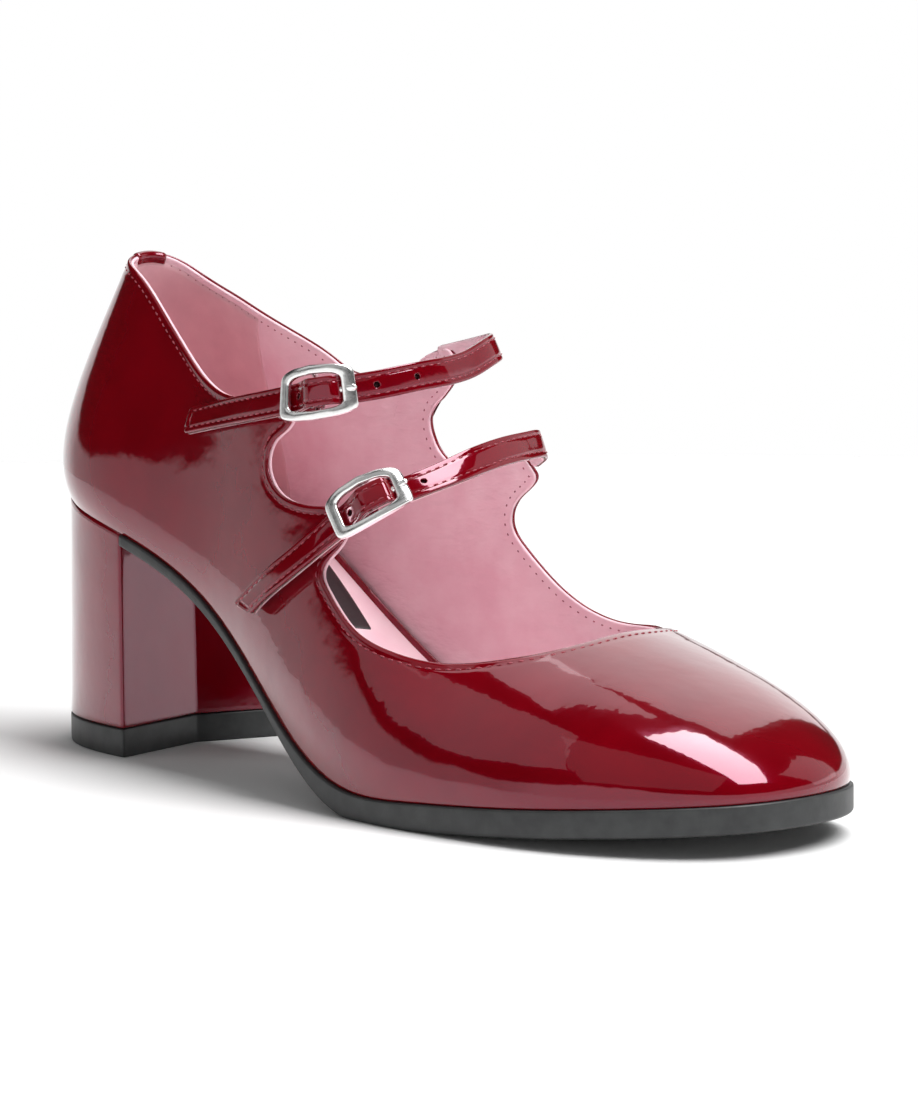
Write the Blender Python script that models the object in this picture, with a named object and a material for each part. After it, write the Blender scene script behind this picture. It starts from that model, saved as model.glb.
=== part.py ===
"""One right shoe, a two-strap mary jane on a block heel, built as separate solids."""
import math

import bmesh
import bpy
import numpy as np

# Sizes in millimetres, turned into metres when a mesh is made
MM = 0.001
LENGTH = 233.0
BALL_HALF = 39.0
COLLAR_HEIGHT = 117.0
HEEL_HEIGHT = 60.0

WALL = 1.6
FIT = 0.3
LAYER_FIT = 0.38
UPPER_INSET = 0.8
SOLE_FOREFOOT = 5.9
SOLE_WAIST = 2.8
SOLE_SOFT_EDGE = 0.7
BREAST_AT = 41.8
BREAST_DEPTH = 7.0
HEEL_FLARE_BACK = 1.3
HEEL_FLARE_LONG = 1.06
HEEL_FLARE_WIDE = 1.03
LIFT_THICKNESS = 6.6
BOARD_THICKNESS = 1.7
BOARD_MARGIN = 0.9
SOCK_THICKNESS = 0.9
SOCK_MARGIN = 1.8

STRAP_WIDTH = 6.3
STRAP_THICKNESS = 1.4
BUCKLE_BAR = 1.6
BUCKLE_LONG = 17.5
BUCKLE_TALL = 12.1
BUCKLE_BOW = 0.22
CENTRE_BAR = 1.2
PRONG_THICKNESS = 1.2
TAB_THICKNESS = 0.6
TAB_WIDTH = 6.4
HUMP = 2.9
HUMP_FREE = 3.4
HUMP_FLAT = 3.0
HUMP_ROOT = 2.2
SIDE_BAR_OUT = STRAP_THICKNESS / 2 + FIT + BUCKLE_BAR / 2
CENTRE_BAR_OUT = (STRAP_THICKNESS / 2 + HUMP - STRAP_THICKNESS
                  - 2 * FIT - TAB_THICKNESS - CENTRE_BAR / 2)
TAB_LOW = -STRAP_THICKNESS / 2 - FIT - TAB_THICKNESS / 2

RING_COUNT = 146
WALL_ROWS = 10
FORWARD_LEAN = 0.045
WHOLE = (-50.0, 400.0)

# Section table, one row per place around the last, heel middle first and then
# the lateral side, the toe and the medial side. Columns: foot edge along (share
# of LENGTH) and across (share of BALL_HALF), cone edge along, across and up
# (share of COLLAR_HEIGHT), length of the rise from the foot edge (share of
# HEEL_HEIGHT) and its outward lean in degrees, length of the fall from the cone
# edge (share of HEEL_HEIGHT) and its downward slope in degrees
SECTIONS = (
    (0.0009, 0.0000, 0.0811, 0.0128, 1.0171, 0.267, 25, 0.367, 64),
    (0.0263, -0.3865, 0.0936, -0.1763, 1.0000, 0.267, 25, 0.333, 68),
    (0.0866, -0.6253, 0.1339, -0.2728, 0.9573, 0.267, 27, 0.300, 74),
    (0.1931, -0.6949, 0.2232, -0.3718, 0.8761, 0.250, 18, 0.267, 78),
    (0.3219, -0.7077, 0.3176, -0.5000, 0.8120, 0.233, 10, 0.267, 80),
    (0.4691, -0.8692, 0.4421, -0.5769, 0.7436, 0.267, 8, 0.300, 78),
    (0.6206, -1.0000, 0.5837, -0.5385, 0.5726, 0.267, 12, 0.333, 66),
    (0.7382, -0.9590, 0.6352, -0.3590, 0.4444, 0.233, 10, 0.333, 48),
    (0.8459, -0.8308, 0.6631, -0.2051, 0.4060, 0.200, 8, 0.400, 33),
    (0.9382, -0.5590, 0.6738, -0.0769, 0.3889, 0.200, 6, 0.467, 22),
    (0.9893, -0.2256, 0.6781, 0.0385, 0.3829, 0.200, 6, 0.533, 17),
    (1.0013, 0.1538, 0.6790, 0.1282, 0.3821, 0.200, 6, 0.600, 15),
    (0.9867, 0.5282, 0.6760, 0.2308, 0.3829, 0.217, 10, 0.600, 16),
    (0.9348, 0.8718, 0.6652, 0.3333, 0.4017, 0.233, 12, 0.500, 24),
    (0.8378, 1.0000, 0.6395, 0.4359, 0.4487, 0.233, 10, 0.400, 38),
    (0.7292, 0.9949, 0.6009, 0.5769, 0.5470, 0.250, 8, 0.333, 56),
    (0.6009, 0.8077, 0.5236, 0.6026, 0.6709, 0.267, 14, 0.300, 74),
    (0.4635, 0.5385, 0.4206, 0.5641, 0.7564, 0.333, 30, 0.300, 80),
    (0.3219, 0.5000, 0.3176, 0.4872, 0.8120, 0.300, 28, 0.267, 80),
    (0.1931, 0.6410, 0.2232, 0.3718, 0.8761, 0.250, 18, 0.267, 78),
    (0.0866, 0.6510, 0.1339, 0.2728, 0.9573, 0.267, 26, 0.300, 74),
    (0.0229, 0.4019, 0.0957, 0.1923, 1.0000, 0.267, 25, 0.333, 68),
)

# Height of the foot edge above the floor. Columns: along (share of LENGTH) and
# up (share of HEEL_HEIGHT)
SEAT = (
    (-0.0215, 1.0217), (0.0858, 0.9433), (0.1931, 0.8500), (0.3004, 0.6967),
    (0.4077, 0.4550), (0.5150, 0.2000), (0.6009, 0.0970), (0.6867, 0.0975),
    (0.7940, 0.1240), (0.9013, 0.1580), (1.0129, 0.1920),
)

# Top line, in the same order as the sections. Columns: around (share of the foot
# edge) and up (share of the way from the foot edge to the cone edge)
TOP_LINE = (
    (0.0000, 0.935), (0.0220, 0.935), (0.0549, 0.955), (0.0745, 0.945),
    (0.0928, 0.912), (0.1195, 0.863), (0.1487, 0.831), (0.1695, 0.835),
    (0.1900, 0.865), (0.2080, 0.893), (0.2230, 0.918), (0.2300, 0.908),
    (0.2285, 0.881), (0.2188, 0.796), (0.2161, 0.732), (0.2196, 0.691),
    (0.2285, 0.678), (0.2419, 0.703), (0.2520, 0.738), (0.2598, 0.773),
    (0.2680, 0.805), (0.2740, 0.790), (0.2720, 0.715), (0.2665, 0.655),
    (0.2632, 0.605), (0.2680, 0.576), (0.2763, 0.560), (0.2900, 0.545),
    (0.3101, 0.558), (0.3362, 0.596), (0.3684, 0.651), (0.4044, 0.695),
    (0.4494, 0.742), (0.4823, 0.798), (0.5188, 0.820), (0.5381, 0.800),
    (0.5750, 0.718), (0.6150, 0.622), (0.6500, 0.529), (0.6803, 0.489),
    (0.6958, 0.504), (0.7098, 0.543), (0.7214, 0.589), (0.7267, 0.637),
    (0.7242, 0.674), (0.7130, 0.747), (0.6990, 0.820), (0.6887, 0.898),
    (0.6935, 0.925), (0.7001, 0.938), (0.7098, 0.918), (0.7206, 0.882),
    (0.7314, 0.844), (0.7415, 0.805), (0.7489, 0.777), (0.7560, 0.750),
    (0.7650, 0.716), (0.7745, 0.718), (0.7800, 0.766), (0.7800, 0.815),
    (0.7745, 0.877), (0.7665, 0.925), (0.7611, 0.964), (0.7560, 1.008),
    (0.7520, 1.084), (0.7534, 1.173), (0.7596, 1.210), (0.7666, 1.121),
    (0.7792, 1.037), (0.8050, 0.935), (0.8240, 0.880), (0.8436, 0.855),
    (0.8559, 0.878), (0.8788, 0.905), (0.9065, 0.910), (0.9258, 0.912),
    (0.9532, 0.909), (0.9779, 0.928),
)

# Strap centre lines from the root on the medial side to the free end. Columns:
# along (share of LENGTH), across (share of BALL_HALF), up (share of
# COLLAR_HEIGHT), backward tilt and inward lean of the face in degrees
STRAP_REAR = (
    (0.4382, 0.568, 0.7941, 38, 10), (0.4795, 0.589, 0.8109, 34, 12),
    (0.5038, 0.588, 0.8204, 21, 13), (0.5185, 0.460, 0.8125, 13, 10),
    (0.5244, 0.308, 0.7961, 12, 7), (0.5315, 0.078, 0.7848, 11, 4),
    (0.5317, -0.153, 0.7777, 10, 2), (0.5209, -0.384, 0.7654, 10, 4),
    (0.4954, -0.549, 0.7542, 8, 8), (0.4601, -0.627, 0.7403, 3, 13),
    (0.4197, -0.645, 0.7253, 0, 14), (0.3650, -0.628, 0.7069, 0, 15),
    (0.3178, -0.609, 0.6900, 0, 21), (0.2808, -0.601, 0.6761, 0, 24),
)
STRAP_FRONT = (
    (0.5482, 0.650, 0.6141, 36, 3), (0.5605, 0.658, 0.6340, 33, 2),
    (0.5678, 0.620, 0.6425, 24, 1), (0.5778, 0.479, 0.6450, 22, 3),
    (0.5886, 0.255, 0.6412, 26, 5), (0.5974, -0.001, 0.6292, 32, 8),
    (0.6002, -0.230, 0.6110, 44, 10), (0.5933, -0.457, 0.5885, 46, 12),
    (0.5694, -0.644, 0.5565, 30, 15), (0.5374, -0.775, 0.5065, 9, 17),
    (0.5050, -0.843, 0.4542, 0, 17), (0.4708, -0.866, 0.4103, 1, 13),
    (0.4435, -0.865, 0.3746, 1, 11), (0.4243, -0.863, 0.3459, 0, 9),
)
BUCKLE_REAR_AT = 0.5853
BUCKLE_FRONT_AT = 0.5778
TAB_REAR = 13.0
TAB_FRONT = 16.0
END_SLANT = 2.7


def closed_curve(knots, values, at):
    """Smooth closed curve through the rows, once round for knots 0 to 1."""
    knots = np.asarray(knots, float)
    values = np.asarray(values, float)
    count = len(knots)
    step = np.diff(np.append(knots, knots[0] + 1.0))
    back = np.roll(step, 1)
    slope = (np.roll(values, -1, 0) - values) / step[:, None]
    matrix = np.zeros((count, count))
    rows = np.arange(count)
    matrix[rows, (rows - 1) % count] += back
    matrix[rows, rows] += 2 * (back + step)
    matrix[rows, (rows + 1) % count] += step
    bend = np.linalg.solve(matrix, 6 * (slope - np.roll(slope, 1, 0)))
    at = np.asarray(at, float) % 1.0
    at = np.where(at < knots[0], at + 1.0, at)
    i = np.clip(np.searchsorted(knots, at, side="right") - 1, 0, count - 1)
    j = (i + 1) % count
    done = (at - knots[i])[:, None]
    span = step[i][:, None]
    left = span - done
    cubic = (bend[i] * left ** 3 + bend[j] * done ** 3) / (6 * span)
    return (cubic + (values[i] / span - bend[i] * span / 6) * left
            + (values[j] / span - bend[j] * span / 6) * done)


def open_curve(knots, values, at):
    """Smooth open curve through the rows, values may have several columns."""
    knots = np.asarray(knots, float)
    values = np.asarray(values, float)
    flat = values.ndim == 1
    if flat:
        values = values[:, None]
    count = len(knots)
    step = np.diff(knots)
    slope = np.diff(values, axis=0) / step[:, None]
    matrix = np.eye(count)
    right = np.zeros_like(values)
    inner = np.arange(1, count - 1)
    matrix[inner, inner - 1] = step[:-1]
    matrix[inner, inner] = 2 * (step[:-1] + step[1:])
    matrix[inner, inner + 1] = step[1:]
    right[1:-1] = 6 * (slope[1:] - slope[:-1])
    bend = np.linalg.solve(matrix, right)
    at = np.clip(np.asarray(at, float), knots[0], knots[-1])
    i = np.clip(np.searchsorted(knots, at, side="right") - 1, 0, count - 2)
    done = (at - knots[i])[:, None]
    left = (knots[i + 1] - at)[:, None]
    span = step[i][:, None]
    out = ((bend[i] * left ** 3 + bend[i + 1] * done ** 3) / (6 * span)
           + (values[i] / span - bend[i] * span / 6) * left
           + (values[i + 1] / span - bend[i + 1] * span / 6) * done)
    return out[:, 0] if flat else out


def section_rows():
    """Section table in millimetres and degrees."""
    size = (LENGTH, BALL_HALF, LENGTH, BALL_HALF, COLLAR_HEIGHT, HEEL_HEIGHT, 1, HEEL_HEIGHT, 1)
    return np.array(SECTIONS) * np.array(size)


def section_knots(rows):
    """Share of the foot edge at which each section row stands."""
    edge = rows[:, :2]
    leg = np.hypot(*(np.roll(edge, -1, 0) - edge).T)
    return np.concatenate([[0], np.cumsum(leg)[:-1]]) / leg.sum()


ROWS = section_rows()
KNOTS = section_knots(ROWS)
SEAT_MM = np.array(SEAT) * np.array((LENGTH, HEEL_HEIGHT))


def seat_height(along):
    """Height of the foot edge above the floor."""
    return open_curve(SEAT_MM[:, 0], SEAT_MM[:, 1], np.ravel(along)).reshape(np.shape(along))


def foot_edge(around):
    """Plan points and outward directions of the foot edge."""
    small = 1e-4
    here = closed_curve(KNOTS, ROWS[:, :2], around)
    run = (closed_curve(KNOTS, ROWS[:, :2], around + small)
           - closed_curve(KNOTS, ROWS[:, :2], around - small))
    out = np.stack([run[:, 1], -run[:, 0]], 1)
    return here, out / np.hypot(*out.T)[:, None]


def last_surface(around, up):
    """Outside of the upper, from the foot edge (up 0) to the cone edge (up 1)."""
    shape = np.shape(around)
    around = np.ravel(around)
    up = np.ravel(up)[:, None]
    edge, out = foot_edge(around)
    row = closed_curve(KNOTS, ROWS[:, 2:], around)
    foot = edge - out * UPPER_INSET
    start = np.column_stack([foot, seat_height(foot[:, 0]) + LAYER_FIT])
    out = np.column_stack([out, np.zeros(len(out))])
    top = np.array([0.0, 0.0, 1.0])
    lean = np.radians(row[:, 4:5])
    fall = np.radians(row[:, 6:7])
    end = row[:, :3]
    rise = start + row[:, 3:4] * (out * np.sin(lean) + top * np.cos(lean))
    drop = end + row[:, 5:6] * (out * np.cos(fall) - top * np.sin(fall))
    back = 1 - up
    point = back ** 3 * start + 3 * back ** 2 * up * rise + 3 * back * up ** 2 * drop + up ** 3 * end
    return point.reshape(shape + (3,))


def last_normal(around, up):
    """Outward direction of the outside of the upper."""
    small = 1e-4
    side = last_surface(around + small, up) - last_surface(around - small, up)
    rise = last_surface(around, up + small) - last_surface(around, up - small)
    out = np.cross(side, rise)
    return out / np.linalg.norm(out, axis=-1, keepdims=True)


def top_line(count):
    """Evenly spaced (around, up) pairs along the top line and the foot edge below."""
    table = np.array(TOP_LINE)
    lift = np.column_stack([table[:, 0], table[:, 1]])
    place = last_surface(lift[:, 0], lift[:, 1])
    leg = np.linalg.norm(np.roll(place, -1, 0) - place, axis=1)
    knots = np.concatenate([[0], np.cumsum(leg)[:-1]]) / leg.sum()
    drift = lift - np.column_stack([knots, np.zeros(len(knots))])
    at = np.arange(count) / count
    line = closed_curve(knots, drift, at)
    line[:, 0] += at
    fine = np.arange(720) / 720
    wide = closed_curve(knots, drift, fine)[:, 0]
    reach = np.arange(-150, 151)
    weight = np.exp(-(reach / 45.0) ** 2)
    soft = sum(w * np.roll(wide, -r) for w, r in zip(weight, reach)) / weight.sum()
    foot = at + np.interp(at, fine, soft, period=1.0)
    foot -= FORWARD_LEAN * np.sin(2 * math.pi * foot)
    return foot, line[:, 0], line[:, 1]


def upper_grids():
    """Outside and inside grids of the upper, foot edge first."""
    foot, around, up = top_line(RING_COUNT)
    share = np.linspace(0.0, 1.0, WALL_ROWS)[None, :]
    place = foot[:, None] + (around - foot)[:, None] * share ** 3
    lift = up[:, None] * share
    outside = last_surface(place, lift)
    inside = outside - last_normal(place, lift) * WALL
    inside[:, 0, 2] = outside[:, 0, 2]
    return outside, inside


def add_object(name, points, faces, material, group):
    """Closed body from points in millimetres, faces turned outward."""
    mesh = bpy.data.meshes.new(name)
    mesh.from_pydata((np.asarray(points) * MM).tolist(), [], [list(f) for f in faces])
    body = bmesh.new()
    body.from_mesh(mesh)
    bmesh.ops.remove_doubles(body, verts=body.verts, dist=1e-6)
    bmesh.ops.recalc_face_normals(body, faces=body.faces)
    bmesh.ops.triangulate(body, faces=body.faces)
    body.to_mesh(mesh)
    body.free()
    mesh.materials.append(material)
    item = bpy.data.objects.new(name, mesh)
    group.objects.link(item)
    return item


def grid_faces(long, wide, start=0, closed=False):
    """Quads of a grid stored row by row, closed joins the last row to the first."""
    rows = np.arange(long if closed else long - 1)
    after = (rows + 1) % long
    cols = np.arange(wide - 1)
    a = start + rows[:, None] * wide + cols[None, :]
    b = start + after[:, None] * wide + cols[None, :]
    return np.stack([a, b, b + 1, a + 1], -1).reshape(-1, 4).tolist()


def shell(outside, inside):
    """Ring-shaped solid between two closed grids."""
    count, rows = outside.shape[:2]
    both = np.concatenate([outside.reshape(-1, 3), inside.reshape(-1, 3)])
    faces = grid_faces(count, rows, 0, True)
    faces += [f[::-1] for f in grid_faces(count, rows, count * rows, True)]
    here = np.arange(count)
    after = (here + 1) % count
    for column in (0, rows - 1):
        a = here * rows + column
        b = after * rows + column
        faces += np.stack([a, b, b + count * rows, a + count * rows], -1).tolist()
    return both, faces


def slab(levels):
    """Solid between stacked grids of one size, the first on top."""
    long, wide = levels[0].shape[:2]
    size = long * wide
    points = np.concatenate([g.reshape(-1, 3) for g in levels])
    rim = np.concatenate([
        np.arange(wide - 1),
        np.arange(long - 1) * wide + wide - 1,
        size - 1 - np.arange(wide - 1),
        (long - 1 - np.arange(long - 1)) * wide,
    ])
    faces = grid_faces(long, wide)
    faces += [f[::-1] for f in grid_faces(long, wide, size * (len(levels) - 1))]
    for level in range(len(levels) - 1):
        a = rim + size * level
        b = np.roll(rim, -1) + size * level
        faces += np.stack([a, b, b + size, a + size], -1).tolist()
    used = np.unique(np.array([i for f in faces for i in f]))
    new = np.full(len(points), -1)
    new[used] = np.arange(len(used))
    return points[used], [[int(new[i]) for i in f] for f in faces]


def plan_grid(inset, first, last, long, wide, breast=0.0):
    """Plan points across the foot outline from one place along it to another."""
    around = np.linspace(0.0, 1.0, 721)[:-1]
    edge, out = foot_edge(around)
    line = edge - out * inset
    tip = int(np.argmax(line[:, 0]))
    heel = int(np.argmin(line[:, 0]))
    line = np.roll(line, -heel, 0)
    tip = (tip - heel) % len(line)
    lateral = line[:tip + 1]
    medial = np.vstack([line[tip:], line[:1]])[::-1]
    low = max(first, line[:, 0].min() + 0.25)
    high = min(last, line[:, 0].max() - 0.25)
    turn = (1 - np.cos(np.linspace(0, math.pi, long))) / 2
    if first > line[:, 0].min() + 1.0:
        turn = 1 - (1 - np.linspace(0, 1, long)) ** 1.7
    if last < line[:, 0].max() - 1.0:
        turn = np.linspace(0, 1, long) ** 1.7
    along = low + (high - low) * turn
    left = np.interp(along, lateral[:, 0], lateral[:, 1])
    right = np.interp(along, medial[:, 0], medial[:, 1])
    share = np.linspace(0, 1, wide)
    grid = np.zeros((long, wide, 2))
    grid[..., 0] = along[:, None]
    grid[..., 1] = left[:, None] + (right - left)[:, None] * share[None, :]
    vee = BREAST_DEPTH * (1 - np.abs(1 - 2 * share))
    if breast:
        near = np.clip(1 - np.abs(along - breast) / 22.0, 0, 1) ** 1.5
        grid[..., 0] -= near[:, None] * vee[None, :]
    return grid


def lifted(grid, height):
    """Plan grid with a height for each point."""
    return np.concatenate([grid, np.broadcast_to(height, grid.shape[:2])[..., None]], -1)


def sole_thickness(along):
    """Thin under the waist, full under the forefoot."""
    share = np.clip((along - 100.0) / 42.0, 0, 1)
    return SOLE_WAIST + (SOLE_FOREFOOT - SOLE_WAIST) * share * share * (3 - 2 * share)


def strap_frames(table, count):
    """Centre, run, width and face directions along a strap."""
    rows = np.array(table) * np.array((LENGTH, BALL_HALF, COLLAR_HEIGHT, 1, 1))
    leg = np.linalg.norm(np.diff(rows[:, :3], axis=0), axis=1)
    knots = np.concatenate([[0], np.cumsum(leg)]) / leg.sum()
    at = np.linspace(0, 1, count) if np.isscalar(count) else np.asarray(count)
    line = open_curve(knots, rows, at)
    small = 1e-3
    run = open_curve(knots, rows[:, :3], at + small) - open_curve(knots, rows[:, :3], at - small)
    run /= np.linalg.norm(run, axis=1, keepdims=True)
    tilt = np.radians(line[:, 3])
    lean = np.radians(line[:, 4])
    side = -np.sign(line[:, 1])
    wide = np.stack([-np.sin(tilt), side * np.sin(lean), np.cos(tilt) * np.cos(lean)], 1)
    wide -= run * np.sum(wide * run, 1, keepdims=True)
    wide /= np.linalg.norm(wide, axis=1, keepdims=True)
    face = np.cross(wide, run)
    away = line[:, :3] - np.array([0.36 * LENGTH, 0.0, 0.5 * COLLAR_HEIGHT])
    face *= np.sign(np.sum(face * away, 1, keepdims=True))
    return line[:, :3], run, wide, face, leg.sum()


def strap_body(table, hump_at, total, slant):
    """Flat strap with soft corners, lifted where it crosses the centre bar."""
    share = np.unique(np.round(np.concatenate([
        np.linspace(0, 1, 34), hump_at + np.linspace(-11, 11, 17) / total]), 5))
    centre, run, wide, face, _ = strap_frames(table, share)
    gone = (share - hump_at) * total
    away = np.where(gone > 0, gone / HUMP_FREE, np.minimum(gone + HUMP_FLAT, 0) / HUMP_ROOT)
    lift = HUMP * np.exp(-away ** 2)
    centre = centre + face * lift[:, None]
    half = STRAP_WIDTH / 2
    deep = STRAP_THICKNESS / 2
    soft = 0.3
    shape = ((-half, -deep + soft), (-half + soft, -deep), (half - soft, -deep), (half, -deep + soft),
             (half, deep - soft), (half - soft, deep), (-half + soft, deep), (-half, deep - soft))
    across = np.array([s[0] for s in shape])
    out = np.array([s[1] for s in shape])
    ring = (centre[:, None] + wide[:, None] * across[None, :, None]
            + face[:, None] * out[None, :, None])
    end = np.clip((share - 0.86) / 0.14, 0, 1)
    ring += run[:, None] * (slant * end[:, None] * across[None, :] / half)[..., None]
    long, wide_count = ring.shape[:2]
    faces = []
    for i in range(long - 1):
        for j in range(wide_count):
            k = (j + 1) % wide_count
            faces.append([i * wide_count + j, (i + 1) * wide_count + j,
                          (i + 1) * wide_count + k, i * wide_count + k])
    faces.append(list(range(wide_count)))
    faces.append([(long - 1) * wide_count + j for j in reversed(range(wide_count))])
    return ring.reshape(-1, 3), faces



def bar_ring(path, radius, sides=8, closed=True):
    """Round bar swept along a flat path in the buckle's own axes."""
    path = np.asarray(path, float)
    count = len(path)
    if closed:
        run = np.roll(path, -1, 0) - np.roll(path, 1, 0)
    else:
        run = np.gradient(path, axis=0)
    run /= np.linalg.norm(run, axis=1, keepdims=True)
    up = np.array([0.0, 0.0, 1.0])
    side = np.cross(run, up)
    side /= np.linalg.norm(side, axis=1, keepdims=True)
    other = np.cross(side, run)
    turn = np.arange(sides) / sides * 2 * math.pi
    ring = (path[:, None] + radius * (side[:, None] * np.cos(turn)[None, :, None]
                                      + other[:, None] * np.sin(turn)[None, :, None]))
    faces = []
    for i in range(count if closed else count - 1):
        n = (i + 1) % count
        for j in range(sides):
            k = (j + 1) % sides
            faces.append([i * sides + j, n * sides + j, n * sides + k, i * sides + k])
    if not closed:
        faces.append(list(range(sides)))
        faces.append([(count - 1) * sides + j for j in reversed(range(sides))])
    return ring.reshape(-1, 3), faces


def frame_path():
    """Soft rectangle of the buckle frame, long sides bowed outward."""
    turn = np.arange(40) / 40 * 2 * math.pi
    power = 0.34
    long = (BUCKLE_LONG - BUCKLE_BAR) / 2
    tall = (BUCKLE_TALL - BUCKLE_BAR) / 2
    u = np.sign(np.cos(turn)) * np.abs(np.cos(turn)) ** power * long
    w = np.sign(np.sin(turn)) * np.abs(np.sin(turn)) ** power * tall
    w *= 1 - BUCKLE_BOW * (u / long) ** 2
    rise = 0.9 * (1 - (u / long) ** 2)
    return np.stack([u, w, rise], 1)


def placed(points, table, at, out):
    """Points in the buckle's own axes (toward the root, width, face) bent along the strap."""
    points = np.asarray(points, float)
    total = strap_frames(table, 3)[4]
    centre, run, wide, face, _ = strap_frames(table, at - points[:, 0] / total)
    return centre + wide * points[:, 1:2] + face * (points[:, 2:3] + out)


def joined(first, second):
    """Union of two closed bodies, the second is used up."""
    step = first.modifiers.new("union", "BOOLEAN")
    step.operation = "UNION"
    step.solver = "EXACT"
    step.object = second
    return baked(first, second)


def carved(first, second):
    """First body less the second, which is used up."""
    step = first.modifiers.new("cut", "BOOLEAN")
    step.operation = "DIFFERENCE"
    step.solver = "EXACT"
    step.object = second
    return baked(first, second)


def baked(item, spare):
    """Apply the one modifier of an item and drop the spare body."""
    bpy.context.view_layer.update()
    graph = bpy.context.evaluated_depsgraph_get()
    mesh = bpy.data.meshes.new_from_object(item.evaluated_get(graph))
    item.modifiers.clear()
    old = item.data
    item.data = mesh
    bpy.data.meshes.remove(old)
    bpy.data.objects.remove(spare)
    return item


def make_material(name, colour, rough, metal=0.0):
    """Plain material for one sub-part."""
    item = bpy.data.materials.new(name)
    item.use_nodes = True
    shader = item.node_tree.nodes["Principled BSDF"]
    shader.inputs["Base Color"].default_value = (*colour, 1.0)
    shader.inputs["Roughness"].default_value = rough
    shader.inputs["Metallic"].default_value = metal
    return item


def build_upper(group, paint):
    """Hollow upper with its top line, ears and throat."""
    outside, inside = upper_grids()
    points, faces = shell(outside, inside)
    add_object("upper", points, faces, paint, group)


def build_boards(group, board_paint, sock_paint):
    """Insole board and the sock on it."""
    inset = UPPER_INSET + WALL + BOARD_MARGIN
    grid = plan_grid(inset, WHOLE[0], WHOLE[1], 44, 5)
    low = seat_height(grid[..., 0]) + LAYER_FIT
    points, faces = slab([lifted(grid, low + BOARD_THICKNESS), lifted(grid, low)])
    add_object("insole", points, faces, board_paint, group)
    grid = plan_grid(inset + SOCK_MARGIN, WHOLE[0], WHOLE[1], 44, 5)
    low = seat_height(grid[..., 0]) + 2 * LAYER_FIT + BOARD_THICKNESS
    points, faces = slab([lifted(grid, low + SOCK_THICKNESS), lifted(grid, low)])
    add_object("sock", points, faces, sock_paint, group)


def build_sole(group, paint):
    """Outsole from the heel breast to the toe, with a flat tread under the ball."""
    start = BREAST_AT + 2 * FIT
    edge = plan_grid(0.0, start, 400, 46, 9, breast=start)
    core = plan_grid(SOLE_SOFT_EDGE, start, 400, 46, 9, breast=start)
    core[..., 0] = np.where(core[..., 0] < start + 1, edge[..., 0], core[..., 0])
    top = seat_height(edge[..., 0])
    thick = sole_thickness(edge[..., 0])
    low = np.maximum(seat_height(edge[..., 0]) - thick, 0.0)
    bottom = np.maximum(seat_height(core[..., 0]) - sole_thickness(core[..., 0]), 0.0)
    points, faces = slab([lifted(edge, top), lifted(edge, low + SOLE_SOFT_EDGE), lifted(core, bottom)])
    add_object("outsole", points, faces, paint, group)


def heel_grid(share):
    """Plan of the heel, share 0 under the foot and 1 at the floor."""
    grid = plan_grid(UPPER_INSET, WHOLE[0], BREAST_AT, 18, 9, breast=BREAST_AT)
    grid[..., 0] *= 1 + (HEEL_FLARE_LONG - 1) * share
    grid[..., 0] -= HEEL_FLARE_BACK * share
    grid[..., 1] *= 1 + (HEEL_FLARE_WIDE - 1) * share
    return grid


def build_heel(group, heel_paint, lift_paint):
    """Block heel with a folded breast and its top lift."""
    high = heel_grid(0.0)
    low = heel_grid(1.0)
    points, faces = slab([lifted(high, seat_height(high[..., 0])), lifted(low, LIFT_THICKNESS + FIT)])
    add_object("heel", points, faces, heel_paint, group)
    points, faces = slab([lifted(low, LIFT_THICKNESS), lifted(low, 0.0)])
    add_object("top_lift", points, faces, lift_paint, group)


def build_strap(name, table, at, tab_length, slant, group, strap_paint, metal):
    """Strap with its buckle frame, prong and tab."""
    total = strap_frames(table, 3)[4]
    points, faces = strap_body(table, at, total, slant)
    strap = add_object("strap_" + name, points, faces, strap_paint, group)
    points, faces = bar_ring(frame_path(), BUCKLE_BAR / 2)
    frame = add_object("buckle_" + name, placed(points, table, at, SIDE_BAR_OUT), faces, metal, group)
    reach = (BUCKLE_TALL - BUCKLE_BAR) / 2
    side = np.linspace(-1, 1, 9)
    drop = CENTRE_BAR_OUT - SIDE_BAR_OUT - 0.9
    path = np.stack([np.zeros(9), side * (reach + 0.1), 0.9 + drop * (1 - np.abs(side) ** 6)], 1)
    points, faces = bar_ring_upright(path, CENTRE_BAR / 2)
    bar = add_object("bar_" + name, placed(points, table, at, SIDE_BAR_OUT), faces, metal, group)
    joined(frame, bar)
    frame.data.materials.clear()
    frame.data.materials.append(metal)
    hole = prong(name, table, at, group, metal)
    carved(strap, hole)
    tab(name, table, at, tab_length, group, strap_paint)


def bar_ring_upright(path, radius, sides=8):
    """Round bar along a path that bends only in width and face."""
    path = np.asarray(path, float)
    run = np.gradient(path, axis=0)
    run /= np.linalg.norm(run, axis=1, keepdims=True)
    side = np.broadcast_to(np.array([1.0, 0.0, 0.0]), run.shape)
    other = np.cross(run, side)
    turn = np.arange(sides) / sides * 2 * math.pi
    ring = (path[:, None] + radius * (side[:, None] * np.cos(turn)[None, :, None]
                                      + other[:, None] * np.sin(turn)[None, :, None]))
    faces = []
    for i in range(len(path) - 1):
        for j in range(sides):
            k = (j + 1) % sides
            faces.append([i * sides + j, (i + 1) * sides + j, (i + 1) * sides + k, i * sides + k])
    faces.append(list(range(sides)))
    faces.append([(len(path) - 1) * sides + j for j in reversed(range(sides))])
    return ring.reshape(-1, 3), faces


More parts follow.
